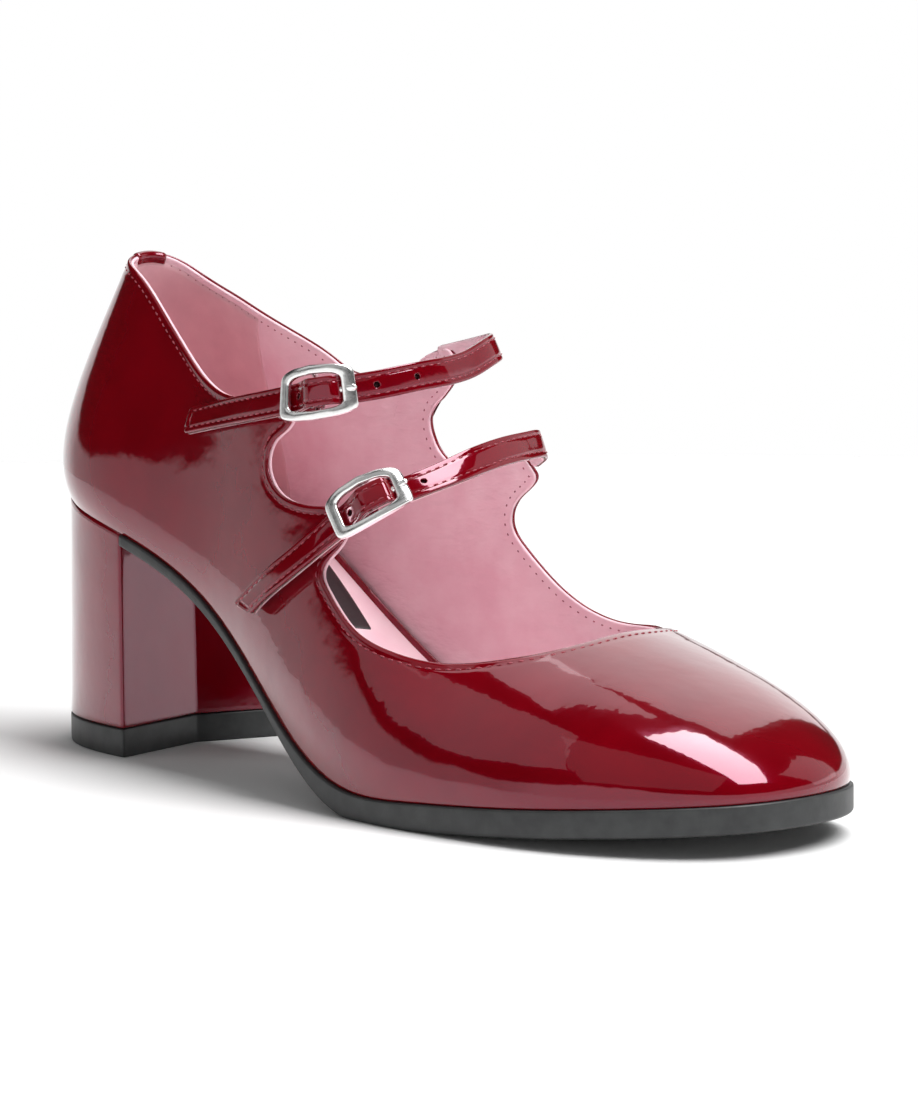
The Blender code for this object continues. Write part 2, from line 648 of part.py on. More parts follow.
def flat_strip(path, thick, width):
    """Strip of even thickness along a path in the run and face plane."""
    path = np.asarray(path, float)
    run = np.gradient(path, axis=0)
    run /= np.linalg.norm(run, axis=1, keepdims=True)
    out = np.stack([-run[:, 1], run[:, 0]], 1) * thick / 2
    rows = []
    for line, side in ((path + out, -width / 2), (path + out, width / 2),
                       (path - out, width / 2), (path - out, -width / 2)):
        rows.append(np.stack([line[:, 0], np.full(len(path), side), line[:, 1]], 1))
    ring = np.stack(rows, 1)
    faces = []
    for i in range(len(path) - 1):
        for j in range(4):
            k = (j + 1) % 4
            faces.append([i * 4 + j, (i + 1) * 4 + j, (i + 1) * 4 + k, i * 4 + k])
    faces.append([0, 1, 2, 3])
    faces.append([(len(path) - 1) * 4 + j for j in (3, 2, 1, 0)])
    return ring.reshape(-1, 3), faces


def prong(name, table, at, group, metal):
    """Pin hooked round the centre bar, its tip on the bar nearest the instep."""
    grip = CENTRE_BAR / 2 + FIT + PRONG_THICKNESS / 2
    turn = np.radians(np.linspace(210, 20, 9))
    hook = np.stack([grip * np.cos(turn), CENTRE_BAR_OUT + grip * np.sin(turn)], 1)
    tip = np.array([BUCKLE_LONG / 2 + 0.3, SIDE_BAR_OUT + BUCKLE_BAR / 2 + FIT + PRONG_THICKNESS / 2])
    start = hook[-1]
    share = np.linspace(0, 1, 9)[1:, None]
    body = start + (tip - start) * share
    body[:, 1] += 0.9 * np.sin(share[:, 0] * math.pi)
    return make_prong(name, table, at, group, metal, np.vstack([hook, body]))


def make_prong(name, table, at, group, metal, path):
    """Add the pin and hand back the body that cuts its hole in the strap."""
    points, faces = flat_strip(path, PRONG_THICKNESS, 1.4)
    add_object("prong_" + name, placed(points, table, at, 0.0), faces, metal, group)
    wide = 1.4 + 2 * FIT + 0.4
    box = []
    for u in (-PRONG_THICKNESS - 1.0, BUCKLE_LONG / 2 - BUCKLE_BAR - 1.2):
        for w in (-wide / 2, wide / 2):
            for n in (-3.0, 9.0):
                box.append((u, w, n))
    sides = [[0, 1, 3, 2], [4, 6, 7, 5], [0, 4, 5, 1], [2, 3, 7, 6], [0, 2, 6, 4], [1, 5, 7, 3]]
    return add_object("cut_" + name, placed(box, table, at, 0.0), sides, metal, group)


def tab(name, table, at, length, group, paint):
    """Folded tab from the ear round the centre bar."""
    grip = CENTRE_BAR / 2 + FIT + TAB_THICKNESS / 2 + 0.05
    turn = np.radians(np.linspace(-90, 90, 9))
    fold = np.stack([grip * np.cos(turn), CENTRE_BAR_OUT + grip * np.sin(turn)], 1)
    out = CENTRE_BAR_OUT
    lower = np.array([(-length, TAB_LOW), (-0.75 * length, TAB_LOW), (-0.5 * length, TAB_LOW),
                      (-3.0, (TAB_LOW + out - grip) / 2)])
    path = np.vstack([lower, fold, [(-1.0, out + grip - 0.3)]])
    points, faces = flat_strip(path, TAB_THICKNESS, TAB_WIDTH)
    item = add_object("tab_" + name, placed(points, table, at, 0.0), faces, paint, group)
    slot = []
    wide = 1.4 + 2 * FIT + 0.4
    for u in (-2.8, 4.0):
        for w in (-wide / 2, wide / 2):
            for n in (-3.0, 9.0):
                slot.append((u, w, n))
    sides = [[0, 1, 3, 2], [4, 6, 7, 5], [0, 4, 5, 1], [2, 3, 7, 6], [0, 2, 6, 4], [1, 5, 7, 3]]
    carved(item, add_object("slot_" + name, placed(slot, table, at, 0.0), sides, paint, group))


def centred(group):
    """Move every body so the box round all of them stands over the origin."""
    low = np.full(3, 1e9)
    high = -low
    for item in group.objects:
        spots = np.empty(len(item.data.vertices) * 3)
        item.data.vertices.foreach_get("co", spots)
        spots = spots.reshape(-1, 3)
        low = np.minimum(low, spots.min(0))
        high = np.maximum(high, spots.max(0))
    shift = np.array([(low[0] + high[0]) / 2, (low[1] + high[1]) / 2, low[2]])
    for item in group.objects:
        spots = np.empty(len(item.data.vertices) * 3)
        item.data.vertices.foreach_get("co", spots)
        spots = spots.reshape(-1, 3) - shift
        item.data.vertices.foreach_set("co", spots.ravel())
        item.data.update()
    print("shift mm", np.round(shift / MM, 4).tolist(), "size", np.round((high - low) / MM, 2).tolist())


def main():
    """Clear the scene and build every body."""
    for item in list(bpy.data.objects):
        bpy.data.objects.remove(item)
    group = bpy.data.collections.new("mary_jane")
    bpy.context.scene.collection.children.link(group)
    patent = make_material("burgundy patent leather", (0.16, 0.004, 0.014), 0.08)
    pink = make_material("pink lining leather", (0.68, 0.28, 0.36), 0.5)
    rubber = make_material("black rubber", (0.012, 0.012, 0.013), 0.55)
    chrome = make_material("polished buckle metal", (0.8, 0.8, 0.8), 0.12, 1.0)
    build_upper(group, patent)
    build_boards(group, patent, pink)
    build_sole(group, rubber)
    build_heel(group, patent, rubber)
    build_strap("rear", STRAP_REAR, BUCKLE_REAR_AT, TAB_REAR, 0.0, group, patent, chrome)
    build_strap("front", STRAP_FRONT, BUCKLE_FRONT_AT, TAB_FRONT, END_SLANT, group, patent, chrome)
    centred(group)


main()
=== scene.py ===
"""Right mary jane in burgundy patent leather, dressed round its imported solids."""
from __future__ import annotations

import logging
import math
from dataclasses import dataclass, field
from enum import Enum

import bmesh
import bpy
import numpy as np
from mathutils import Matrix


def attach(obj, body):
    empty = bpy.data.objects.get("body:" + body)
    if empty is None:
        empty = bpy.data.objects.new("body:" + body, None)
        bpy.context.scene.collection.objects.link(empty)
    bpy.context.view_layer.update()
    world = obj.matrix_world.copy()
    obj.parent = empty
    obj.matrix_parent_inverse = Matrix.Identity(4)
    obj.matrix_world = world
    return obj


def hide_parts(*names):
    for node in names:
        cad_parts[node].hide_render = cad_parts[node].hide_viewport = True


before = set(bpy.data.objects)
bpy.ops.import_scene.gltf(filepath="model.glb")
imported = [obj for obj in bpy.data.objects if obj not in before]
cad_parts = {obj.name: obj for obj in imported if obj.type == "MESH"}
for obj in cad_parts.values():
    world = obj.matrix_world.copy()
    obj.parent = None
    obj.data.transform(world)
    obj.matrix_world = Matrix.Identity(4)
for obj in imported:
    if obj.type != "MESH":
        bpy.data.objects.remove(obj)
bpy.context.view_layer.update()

LOG = logging.getLogger("mary_jane")
MM = 0.001
# Origin of the frame in millimetres from the heel's back and the last's middle plane
ORIGIN = np.array([116.2172, 0.1807, 0.0])

# One row per place around the last, heel middle first, then the lateral side, the
# toe and the medial side. Columns: foot edge along (share of length) and across
# (share of the half width), cone edge along, across and up (share of the collar
# height), length of the rise from the foot edge (share of the heel height) and its
# outward lean in degrees, length of the fall from the cone edge (share of the heel
# height) and its downward slope in degrees
SECTIONS = (
    (0.0009, 0.0000, 0.0811, 0.0128, 1.0171, 0.267, 25, 0.367, 64),
    (0.0263, -0.3865, 0.0936, -0.1763, 1.0000, 0.267, 25, 0.333, 68),
    (0.0866, -0.6253, 0.1339, -0.2728, 0.9573, 0.267, 27, 0.300, 74),
    (0.1931, -0.6949, 0.2232, -0.3718, 0.8761, 0.250, 18, 0.267, 78),
    (0.3219, -0.7077, 0.3176, -0.5000, 0.8120, 0.233, 10, 0.267, 80),
    (0.4691, -0.8692, 0.4421, -0.5769, 0.7436, 0.267, 8, 0.300, 78),
    (0.6206, -1.0000, 0.5837, -0.5385, 0.5726, 0.267, 12, 0.333, 66),
    (0.7382, -0.9590, 0.6352, -0.3590, 0.4444, 0.233, 10, 0.333, 48),
    (0.8459, -0.8308, 0.6631, -0.2051, 0.4060, 0.200, 8, 0.400, 33),
    (0.9382, -0.5590, 0.6738, -0.0769, 0.3889, 0.200, 6, 0.467, 22),
    (0.9893, -0.2256, 0.6781, 0.0385, 0.3829, 0.200, 6, 0.533, 17),
    (1.0013, 0.1538, 0.6790, 0.1282, 0.3821, 0.200, 6, 0.600, 15),
    (0.9867, 0.5282, 0.6760, 0.2308, 0.3829, 0.217, 10, 0.600, 16),
    (0.9348, 0.8718, 0.6652, 0.3333, 0.4017, 0.233, 12, 0.500, 24),
    (0.8378, 1.0000, 0.6395, 0.4359, 0.4487, 0.233, 10, 0.400, 38),
    (0.7292, 0.9949, 0.6009, 0.5769, 0.5470, 0.250, 8, 0.333, 56),
    (0.6009, 0.8077, 0.5236, 0.6026, 0.6709, 0.267, 14, 0.300, 74),
    (0.4635, 0.5385, 0.4206, 0.5641, 0.7564, 0.333, 30, 0.300, 80),
    (0.3219, 0.5000, 0.3176, 0.4872, 0.8120, 0.300, 28, 0.267, 80),
    (0.1931, 0.6410, 0.2232, 0.3718, 0.8761, 0.250, 18, 0.267, 78),
    (0.0866, 0.6510, 0.1339, 0.2728, 0.9573, 0.267, 26, 0.300, 74),
    (0.0229, 0.4019, 0.0957, 0.1923, 1.0000, 0.267, 25, 0.333, 68),
)

# Height of the foot edge above the floor: along (share of length), up (share of
# the heel height)
SEAT = (
    (-0.0215, 1.0217), (0.0858, 0.9433), (0.1931, 0.8500), (0.3004, 0.6967),
    (0.4077, 0.4550), (0.5150, 0.2000), (0.6009, 0.0970), (0.6867, 0.0975),
    (0.7940, 0.1240), (0.9013, 0.1580), (1.0129, 0.1920),
)

# Top line in the order of the sections: around (share of the foot edge) and up
# (share of the way from the foot edge to the cone edge)
TOP_LINE = (
    (0.0000, 0.935), (0.0220, 0.935), (0.0549, 0.955), (0.0745, 0.945),
    (0.0928, 0.912), (0.1195, 0.863), (0.1487, 0.831), (0.1695, 0.835),
    (0.1900, 0.865), (0.2080, 0.893), (0.2230, 0.918), (0.2300, 0.908),
    (0.2285, 0.881), (0.2188, 0.796), (0.2161, 0.732), (0.2196, 0.691),
    (0.2285, 0.678), (0.2419, 0.703), (0.2520, 0.738), (0.2598, 0.773),
    (0.2680, 0.805), (0.2740, 0.790), (0.2720, 0.715), (0.2665, 0.655),
    (0.2632, 0.605), (0.2680, 0.576), (0.2763, 0.560), (0.2900, 0.545),
    (0.3101, 0.558), (0.3362, 0.596), (0.3684, 0.651), (0.4044, 0.695),
    (0.4494, 0.742), (0.4823, 0.798), (0.5188, 0.820), (0.5381, 0.800),
    (0.5750, 0.718), (0.6150, 0.622), (0.6500, 0.529), (0.6803, 0.489),
    (0.6958, 0.504), (0.7098, 0.543), (0.7214, 0.589), (0.7267, 0.637),
    (0.7242, 0.674), (0.7130, 0.747), (0.6990, 0.820), (0.6887, 0.898),
    (0.6935, 0.925), (0.7001, 0.938), (0.7098, 0.918), (0.7206, 0.882),
    (0.7314, 0.844), (0.7415, 0.805), (0.7489, 0.777), (0.7560, 0.750),
    (0.7650, 0.716), (0.7745, 0.718), (0.7800, 0.766), (0.7800, 0.815),
    (0.7745, 0.877), (0.7665, 0.925), (0.7611, 0.964), (0.7560, 1.008),
    (0.7520, 1.084), (0.7534, 1.173), (0.7596, 1.210), (0.7666, 1.121),
    (0.7792, 1.037), (0.8050, 0.935), (0.8240, 0.880), (0.8436, 0.855),
    (0.8559, 0.878), (0.8788, 0.905), (0.9065, 0.910), (0.9258, 0.912),
    (0.9532, 0.909), (0.9779, 0.928),
)

# Strap centre lines from the medial root to the free end: along (share of length),
# across (share of the half width), up (share of the collar height), backward tilt
# and inward lean of the face in degrees
STRAP_REAR = (
    (0.4382, 0.568, 0.7941, 38, 10), (0.4795, 0.589, 0.8109, 34, 12),
    (0.5038, 0.588, 0.8204, 21, 13), (0.5185, 0.460, 0.8125, 13, 10),
    (0.5244, 0.308, 0.7961, 12, 7), (0.5315, 0.078, 0.7848, 11, 4),
    (0.5317, -0.153, 0.7777, 10, 2), (0.5209, -0.384, 0.7654, 10, 4),
    (0.4954, -0.549, 0.7542, 8, 8), (0.4601, -0.627, 0.7403, 3, 13),
    (0.4197, -0.645, 0.7253, 0, 14), (0.3650, -0.628, 0.7069, 0, 15),
    (0.3178, -0.609, 0.6900, 0, 21), (0.2808, -0.601, 0.6761, 0, 24),
)
STRAP_FRONT = (
    (0.5482, 0.650, 0.6141, 36, 3), (0.5605, 0.658, 0.6340, 33, 2),
    (0.5678, 0.620, 0.6425, 24, 1), (0.5778, 0.479, 0.6450, 22, 3),
    (0.5886, 0.255, 0.6412, 26, 5), (0.5974, -0.001, 0.6292, 32, 8),
    (0.6002, -0.230, 0.6110, 44, 10), (0.5933, -0.457, 0.5885, 46, 12),
    (0.5694, -0.644, 0.5565, 30, 15), (0.5374, -0.775, 0.5065, 9, 17),
    (0.5050, -0.843, 0.4542, 0, 17), (0.4708, -0.866, 0.4103, 1, 13),
    (0.4435, -0.865, 0.3746, 1, 11), (0.4243, -0.863, 0.3459, 0, 9),
)


class Slot(Enum):
    """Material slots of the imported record."""

    PATENT = "patent"
    LINING = "lining"
    RUBBER = "sole_rubber"
    METAL = "buckle_metal"


def linear(code: str) -> tuple[float, float, float, float]:
    """Turn an sRGB hex colour into linear light.

    Args:
        code: six hex digits, with or without the hash.

    Returns:
        Linear red, green, blue and a full alpha.
    """
    code = code.lstrip("#")
    parts = [int(code[i:i + 2], 16) / 255 for i in (0, 2, 4)]
    red, green, blue = [p / 12.92 if p <= 0.04045 else ((p + 0.055) / 1.055) ** 2.4
                        for p in parts]
    return red, green, blue, 1.0


def add_node(tree: bpy.types.NodeTree, kind: str, values: dict | None = None,
             links: dict | None = None, stops: tuple[tuple[float, tuple], ...] = (),
             **settings) -> bpy.types.Node:
    """Add a node with its settings and links.

    Args:
        tree: node tree that gets the node.
        kind: node type name.
        values: input socket name or number to its value.
        links: input socket name or number to the output that feeds it.
        stops: place and linear colour of each stop of a colour ramp.
        settings: plain properties of the node.

    Returns:
        The new node.
    """
    item = tree.nodes.new(kind)
    for key, value in settings.items():
        setattr(item, key, value)
    for key, value in (values or {}).items():
        item.inputs[key].default_value = value
    for key, source in (links or {}).items():
        tree.links.new(source, item.inputs[key])
    for _ in stops[2:]:
        item.color_ramp.elements.new(1.0)
    for number, (place, colour) in enumerate(stops):
        item.color_ramp.elements[number].position = place
        item.color_ramp.elements[number].color = colour
    return item


def start_material(name: str) -> tuple[bpy.types.Material, bpy.types.NodeTree, bpy.types.Node,
                                       bpy.types.NodeSocket]:
    """Empty Principled material and its object coordinates.

    Args:
        name: plain name of the real finish.

    Returns:
        Material, node tree, Principled node and the Object coordinate output.
    """
    item = bpy.data.materials.new(name)
    item.use_nodes = True
    tree = item.node_tree
    shader = tree.nodes["Principled BSDF"]
    place = add_node(tree, "ShaderNodeTexCoord").outputs["Object"]
    return item, tree, shader, place


def dye(tree: bpy.types.NodeTree, place: bpy.types.NodeSocket, size: float, detail: float,
        shade: tuple[float, str], light: tuple[float, str]) -> bpy.types.NodeSocket:
    """Cloudy colour: noise on object coordinates, read between two close colours.

    Args:
        tree: node tree that gets the nodes.
        place: object coordinates in metres.
        size: size of a cloud in mm.
        detail: noise detail.
        shade: noise value and hex colour of the darker end.
        light: noise value and hex colour of the lighter end.

    Returns:
        Colour output.
    """
    cloud = add_node(tree, "ShaderNodeTexNoise", {"Scale": 1.0 / (size * MM), "Detail": detail},
                     {"Vector": place})
    return add_node(tree, "ShaderNodeValToRGB", links={0: cloud.outputs[0]}, stops=(
        (shade[0], linear(shade[1])), (light[0], linear(light[1])))).outputs[0]


def bump_chain(tree: bpy.types.NodeTree, place: bpy.types.NodeSocket,
               layers: tuple[tuple[float, float, float], ...],
               normal: bpy.types.NodeSocket | None = None) -> bpy.types.NodeSocket:
    """Stack of noise bumps on object coordinates.

    Args:
        tree: node tree that gets the nodes.
        place: object coordinates in metres.
        layers: size of a bump in mm, its height in mm and noise detail, one row each.
        normal: relief that lies under the first layer, if any.

    Returns:
        Normal output of the last bump.
    """
    for size, height, detail in layers:
        noise = add_node(tree, "ShaderNodeTexNoise", {"Scale": 1.0 / (size * MM), "Detail": detail,
                                                      "Roughness": 0.5}, {"Vector": place})
        links = {"Height": noise.outputs[0]}
        if normal is not None:
            links["Normal"] = normal
        normal = add_node(tree, "ShaderNodeBump", {"Strength": 1.0, "Distance": height * MM},
                          links).outputs[0]
    return normal


@dataclass(frozen=True)
class PatentLeather:
    """Split leather under a poured polyurethane film, deep burgundy and mirror bright.

    The dye shines through the film, so the base's own gloss is tinted and the film's
    is clear.
    """

    name: str = "burgundy patent leather"
    deep: str = "#6c000a"
    warm: str = "#75000c"
    base_gloss: str = "#ff59aa"
    cloud_mm: float = 14.0
    slow_mm: float = 16.0
    slow_height_mm: float = 0.22
    sway_mm: float = 6.0
    sway_height_mm: float = 0.07
    peel_mm: float = 1.3
    peel_height_mm: float = 0.004
    base_roughness: float = 0.12
    film_roughness: float = 0.02
    film_ior: float = 1.52

    def build(self) -> bpy.types.Material:
        """Make the material: dyed base, clear film with slow sway and fine peel.

        Returns:
            The material.
        """
        item, tree, shader, place = start_material(self.name)
        colour = dye(tree, place, self.cloud_mm, 3.0, (0.35, self.deep), (0.65, self.warm))
        normal = bump_chain(tree, place, ((self.slow_mm, self.slow_height_mm, 1.0),
                                          (self.sway_mm, self.sway_height_mm, 2.0),
                                          (self.peel_mm, self.peel_height_mm, 1.0)))
        tree.links.new(colour, shader.inputs["Base Color"])
        tree.links.new(normal, shader.inputs["Normal"])
        tree.links.new(normal, shader.inputs["Coat Normal"])
        shader.inputs["Roughness"].default_value = self.base_roughness
        shader.inputs["IOR"].default_value = 1.5
        shader.inputs["Specular IOR Level"].default_value = 0.5
        shader.inputs["Specular Tint"].default_value = linear(self.base_gloss)
        shader.inputs["Coat Weight"].default_value = 1.0
        shader.inputs["Coat Roughness"].default_value = self.film_roughness
        shader.inputs["Coat IOR"].default_value = self.film_ior
        return item


@dataclass(frozen=True)
class LiningLeather:
    """Aniline dyed pig or goat lining, pale pink, satin, with pores and soft creases."""

    name: str = "pale pink lining leather"
    light: str = "#fcdae2"
    shade: str = "#f3c6d2"
    roughness: float = 0.42
    pore_mm: float = 0.5
    pore_height_mm: float = 0.035
    crease_height_mm: float = 0.4
    crease_mm: float = 2.6
    cloud_mm: float = 9.0

    def build(self) -> bpy.types.Material:
        """Make the material: mottled dye, creases stretched lengthwise, fine pores.

        Returns:
            The material.
        """
        item, tree, shader, place = start_material(self.name)
        colour = dye(tree, place, self.cloud_mm, 5.0, (0.3, self.shade), (0.7, self.light))
        along = add_node(tree, "ShaderNodeMapping", {
            "Scale": (0.35, 1.0, 1.0), "Rotation": (0.0, 0.6, 0.3)}, {"Vector": place})
        normal = bump_chain(tree, along.outputs[0],
                            ((self.crease_mm, self.crease_height_mm, 3.0),))
        normal = bump_chain(tree, place, ((self.pore_mm, self.pore_height_mm, 4.0),), normal)
        tree.links.new(colour, shader.inputs["Base Color"])
        tree.links.new(normal, shader.inputs["Normal"])
        shader.inputs["Roughness"].default_value = self.roughness
        shader.inputs["IOR"].default_value = 1.45
        return item


@dataclass(frozen=True)
class SoleRubber:
    """Moulded rubber, black, its base colour mottled with charcoal as a painted sheen of light
    skimming its fine grain.
    """

    name: str = "black moulded rubber"
    dark: str = "#2b2c2d"
    charcoal_sheen: str = "#383a3a"
    cloud_mm: float = 4.0
    roughness: float = 0.45

    def build(self) -> bpy.types.Material:
        """Make the material: near black with a painted charcoal sheen, fine grain, satin.

        Returns:
            The material.
        """
        item, tree, shader, place = start_material(self.name)
        # Charcoal clouds in the base colour: painted sheen of light on the grain
        colour = dye(tree, place, self.cloud_mm, 6.0, (0.35, self.dark), (0.7, self.charcoal_sheen))
        normal = bump_chain(tree, place, ((3.0, 0.04, 2.0), (0.4, 0.02, 3.0)))
        tree.links.new(colour, shader.inputs["Base Color"])
        tree.links.new(normal, shader.inputs["Normal"])
        shader.inputs["Roughness"].default_value = self.roughness
        return item


@dataclass(frozen=True)
class BuckleMetal:
    """Zinc casting, polished and nickel plated, with faint tumbling marks."""

    name: str = "polished nickel plate"
    tint: str = "#fbfbfa"
    polish_mm: float = 1.6
    bright: float = 0.15
    dull: float = 0.3

    def build(self) -> bpy.types.Material:
        """Make the material: bright metal with slight ripple and uneven polish.

        Returns:
            The material.
        """
        item, tree, shader, place = start_material(self.name)
        shader.inputs["Base Color"].default_value = linear(self.tint)
        shader.inputs["Metallic"].default_value = 1.0
        cloud = add_node(tree, "ShaderNodeTexNoise", {"Scale": 1.0 / (self.polish_mm * MM),
                                                      "Detail": 4.0}, {"Vector": place})
        rough = add_node(tree, "ShaderNodeMapRange", {"To Min": self.bright, "To Max": self.dull},
                         {"Value": cloud.outputs[0]})
        normal = bump_chain(tree, place, ((1.2, 0.02, 2.0),))
        tree.links.new(rough.outputs[0], shader.inputs["Roughness"])
        tree.links.new(normal, shader.inputs["Normal"])
        return item


@dataclass(frozen=True)
class PlainFinish:
    """Small trim: thread, cut edge or printed foil, a soft colour with fine grain."""

    name: str
    light: str
    shade: str
    roughness: float = 0.5
    grain_mm: float = 0.4
    grain_height_mm: float = 0.02

    def build(self) -> bpy.types.Material:
        """Make the material from two close colours and one grain.

        Returns:
            The material.
        """
        item, tree, shader, place = start_material(self.name)
        colour = dye(tree, place, self.grain_mm * 2, 3.0, (0.35, self.shade), (0.65, self.light))
        normal = bump_chain(tree, place, ((self.grain_mm, self.grain_height_mm, 2.0),))
        tree.links.new(colour, shader.inputs["Base Color"])
        tree.links.new(normal, shader.inputs["Normal"])
        shader.inputs["Roughness"].default_value = self.roughness
        return item


def closed_curve(knots: np.ndarray, values: np.ndarray, at: np.ndarray) -> np.ndarray:
    """Smooth closed curve through rows of values, a periodic cubic spline.

    Args:
        knots: share of the way round of each row.
        values: one row per knot.
        at: shares to read, any real number.

    Returns:
        One row of values per share.
    """
    knots, values = np.asarray(knots, float), np.asarray(values, float)
    count = len(knots)
    step = np.diff(np.append(knots, knots[0] + 1.0))
    back = np.roll(step, 1)
    slope = (np.roll(values, -1, 0) - values) / step[:, None]
    matrix = np.zeros((count, count))
    rows = np.arange(count)
    matrix[rows, (rows - 1) % count] += back
    matrix[rows, rows] += 2 * (back + step)
    matrix[rows, (rows + 1) % count] += step
    bend = np.linalg.solve(matrix, 6 * (slope - np.roll(slope, 1, 0)))
    at = np.asarray(at, float) % 1.0
    at = np.where(at < knots[0], at + 1.0, at)
    i = np.clip(np.searchsorted(knots, at, side="right") - 1, 0, count - 1)
    j = (i + 1) % count
    done = (at - knots[i])[:, None]
    span = step[i][:, None]
    left = span - done
    cubic = (bend[i] * left ** 3 + bend[j] * done ** 3) / (6 * span)
    return cubic + (values[i] / span - bend[i] * span / 6) * left + (
        values[j] / span - bend[j] * span / 6) * done


def open_curve(knots: np.ndarray, values: np.ndarray, at: np.ndarray) -> np.ndarray:
    """Smooth open curve through rows of values, a natural cubic spline.

    Args:
        knots: rising place of each row.
        values: one row per knot.
        at: places to read, held inside the knots.

    Returns:
        One row of values per place.
    """
    knots, values = np.asarray(knots, float), np.asarray(values, float)
    flat = values.ndim == 1
    values = values[:, None] if flat else values
    count = len(knots)
    step = np.diff(knots)
    slope = np.diff(values, axis=0) / step[:, None]
    matrix = np.eye(count)
    right = np.zeros_like(values)
    inner = np.arange(1, count - 1)
    matrix[inner, inner - 1] = step[:-1]
    matrix[inner, inner] = 2 * (step[:-1] + step[1:])
    matrix[inner, inner + 1] = step[1:]
    right[1:-1] = 6 * (slope[1:] - slope[:-1])
    bend = np.linalg.solve(matrix, right)
    at = np.clip(np.asarray(at, float), knots[0], knots[-1])
    i = np.clip(np.searchsorted(knots, at, side="right") - 1, 0, count - 2)
    done, left = (at - knots[i])[:, None], (knots[i + 1] - at)[:, None]
    span = step[i][:, None]
    out = ((bend[i] * left ** 3 + bend[i + 1] * done ** 3) / (6 * span)
           + (values[i] / span - bend[i] * span / 6) * left
           + (values[i + 1] / span - bend[i + 1] * span / 6) * done)
    return out[:, 0] if flat else out


def unit(vectors: np.ndarray) -> np.ndarray:
    """Vectors brought to length one along the last axis."""
    return vectors / np.maximum(np.linalg.norm(vectors, axis=-1, keepdims=True), 1e-12)


def smooth_step(low: float, high: float, value: np.ndarray) -> np.ndarray:
    """Soft rise from 0 at low to 1 at high, three squares less two cubes."""
    share = np.clip((value - low) / (high - low), 0.0, 1.0)
    return share * share * (3 - 2 * share)


def nearest(points: np.ndarray, line: np.ndarray) -> np.ndarray:
    """Distance from each point to the nearest sample of a line.

    Args:
        points: rows of two or three coordinates.
        line: rows of as many coordinates.

    Returns:
        One distance per point.
    """
    parts = np.array_split(points, max(1, len(points) // 1500))
    return np.concatenate([np.sqrt(((part[:, None] - line[None]) ** 2).sum(-1).min(1))
                           for part in parts])


def squared_circle(turn: np.ndarray, power: float) -> tuple[np.ndarray, np.ndarray]:
    """Superellipse of radius one: cosine and sine raised to a power, their signs kept."""
    wide, tall = np.cos(turn), np.sin(turn)
    return np.sign(wide) * np.abs(wide) ** power, np.sign(tall) * np.abs(tall) ** power


def grid_quads(long: int, wide: int, loop_long: bool = False, loop_wide: bool = False,
               start: int = 0) -> np.ndarray:
    """Quads of a grid stored row by row.

    Args:
        long: rows.
        wide: points in a row.
        loop_long: join the last row to the first.
        loop_wide: join the last point of a row to its first.
        start: number of the first point.

    Returns:
        Four point numbers per quad.
    """
    i = np.arange(long if loop_long else long - 1)[:, None]
    j = np.arange(wide if loop_wide else wide - 1)[None, :]
    near, far = i * wide, ((i + 1) % long) * wide
    nxt = (j + 1) % wide
    return start + np.stack([near + j, far + j, far + nxt, near + nxt], -1).reshape(-1, 4)


def make_piece(name: str, points: np.ndarray, faces: list[np.ndarray],
               material: bpy.types.Material) -> bpy.types.Object:
    """Closed mesh at the origin from millimetre points, welded and facing outward.

    Args:
        name: plain name of the piece.
        points: rows of x, y, z in millimetres from the heel back.
        faces: arrays of point numbers, one array for each number of corners.
        material: its finish.

    Returns:
        The object, riding on the one body.
    """
    mesh = bpy.data.meshes.new(name)
    corners = np.concatenate([np.asarray(f).ravel() for f in faces])
    sizes = np.concatenate([np.full(len(f), np.shape(f)[1]) for f in faces])
    mesh.vertices.add(len(points))
    mesh.loops.add(len(corners))
    mesh.polygons.add(len(sizes))
    mesh.vertices.foreach_set("co", ((points - ORIGIN) * MM).astype(np.float32).ravel())
    mesh.loops.foreach_set("vertex_index", corners.astype(np.int32))
    mesh.polygons.foreach_set("loop_start", (np.cumsum(sizes) - sizes).astype(np.int32))
    mesh.update(calc_edges=True)
    body = bmesh.new()
    body.from_mesh(mesh)
    bmesh.ops.remove_doubles(body, verts=body.verts, dist=1e-7)
    bmesh.ops.recalc_face_normals(body, faces=body.faces)
    body.to_mesh(mesh)
    body.free()
    mesh.polygons.foreach_set("use_smooth", np.ones(len(mesh.polygons), bool))
    mesh.materials.append(material)
    item = bpy.data.objects.new(name, mesh)
    bpy.context.scene.collection.objects.link(item)
    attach(item, "root")
    LOG.info("%s: %d faces", name, len(mesh.polygons))
    return item


def loft(grid: np.ndarray, loop_long: bool = False) -> tuple[np.ndarray, list[np.ndarray]]:
    """Closed body from closed rings, one ring per row, ends capped when not looped.

    Args:
        grid: rings, points round a ring, coordinates.
        loop_long: join the last ring to the first.

    Returns:
        Points and faces.
    """
    long, wide = grid.shape[:2]
    faces = [grid_quads(long, wide, loop_long, True)]
    if not loop_long:
        faces.append(np.arange(wide)[None, ::-1])
        faces.append((long - 1) * wide + np.arange(wide)[None, :])
    return grid.reshape(-1, 3), faces


def slab(top: np.ndarray, bottom: np.ndarray) -> tuple[np.ndarray, list[np.ndarray]]:
    """Closed body between two grids of one size.

    Args:
        top: upper grid.
        bottom: lower grid.

    Returns:
        Points and faces.
    """
    long, wide = top.shape[:2]
    size = long * wide
    rim = np.concatenate([np.arange(wide - 1), np.arange(long - 1) * wide + wide - 1,
                          size - 1 - np.arange(wide - 1), (long - 1 - np.arange(long - 1)) * wide])
    after = np.roll(rim, -1)
    faces = [grid_quads(long, wide), grid_quads(long, wide, start=size)[:, ::-1],
             np.stack([rim, after, after + size, rim + size], -1)]
    return np.concatenate([top.reshape(-1, 3), bottom.reshape(-1, 3)]), faces


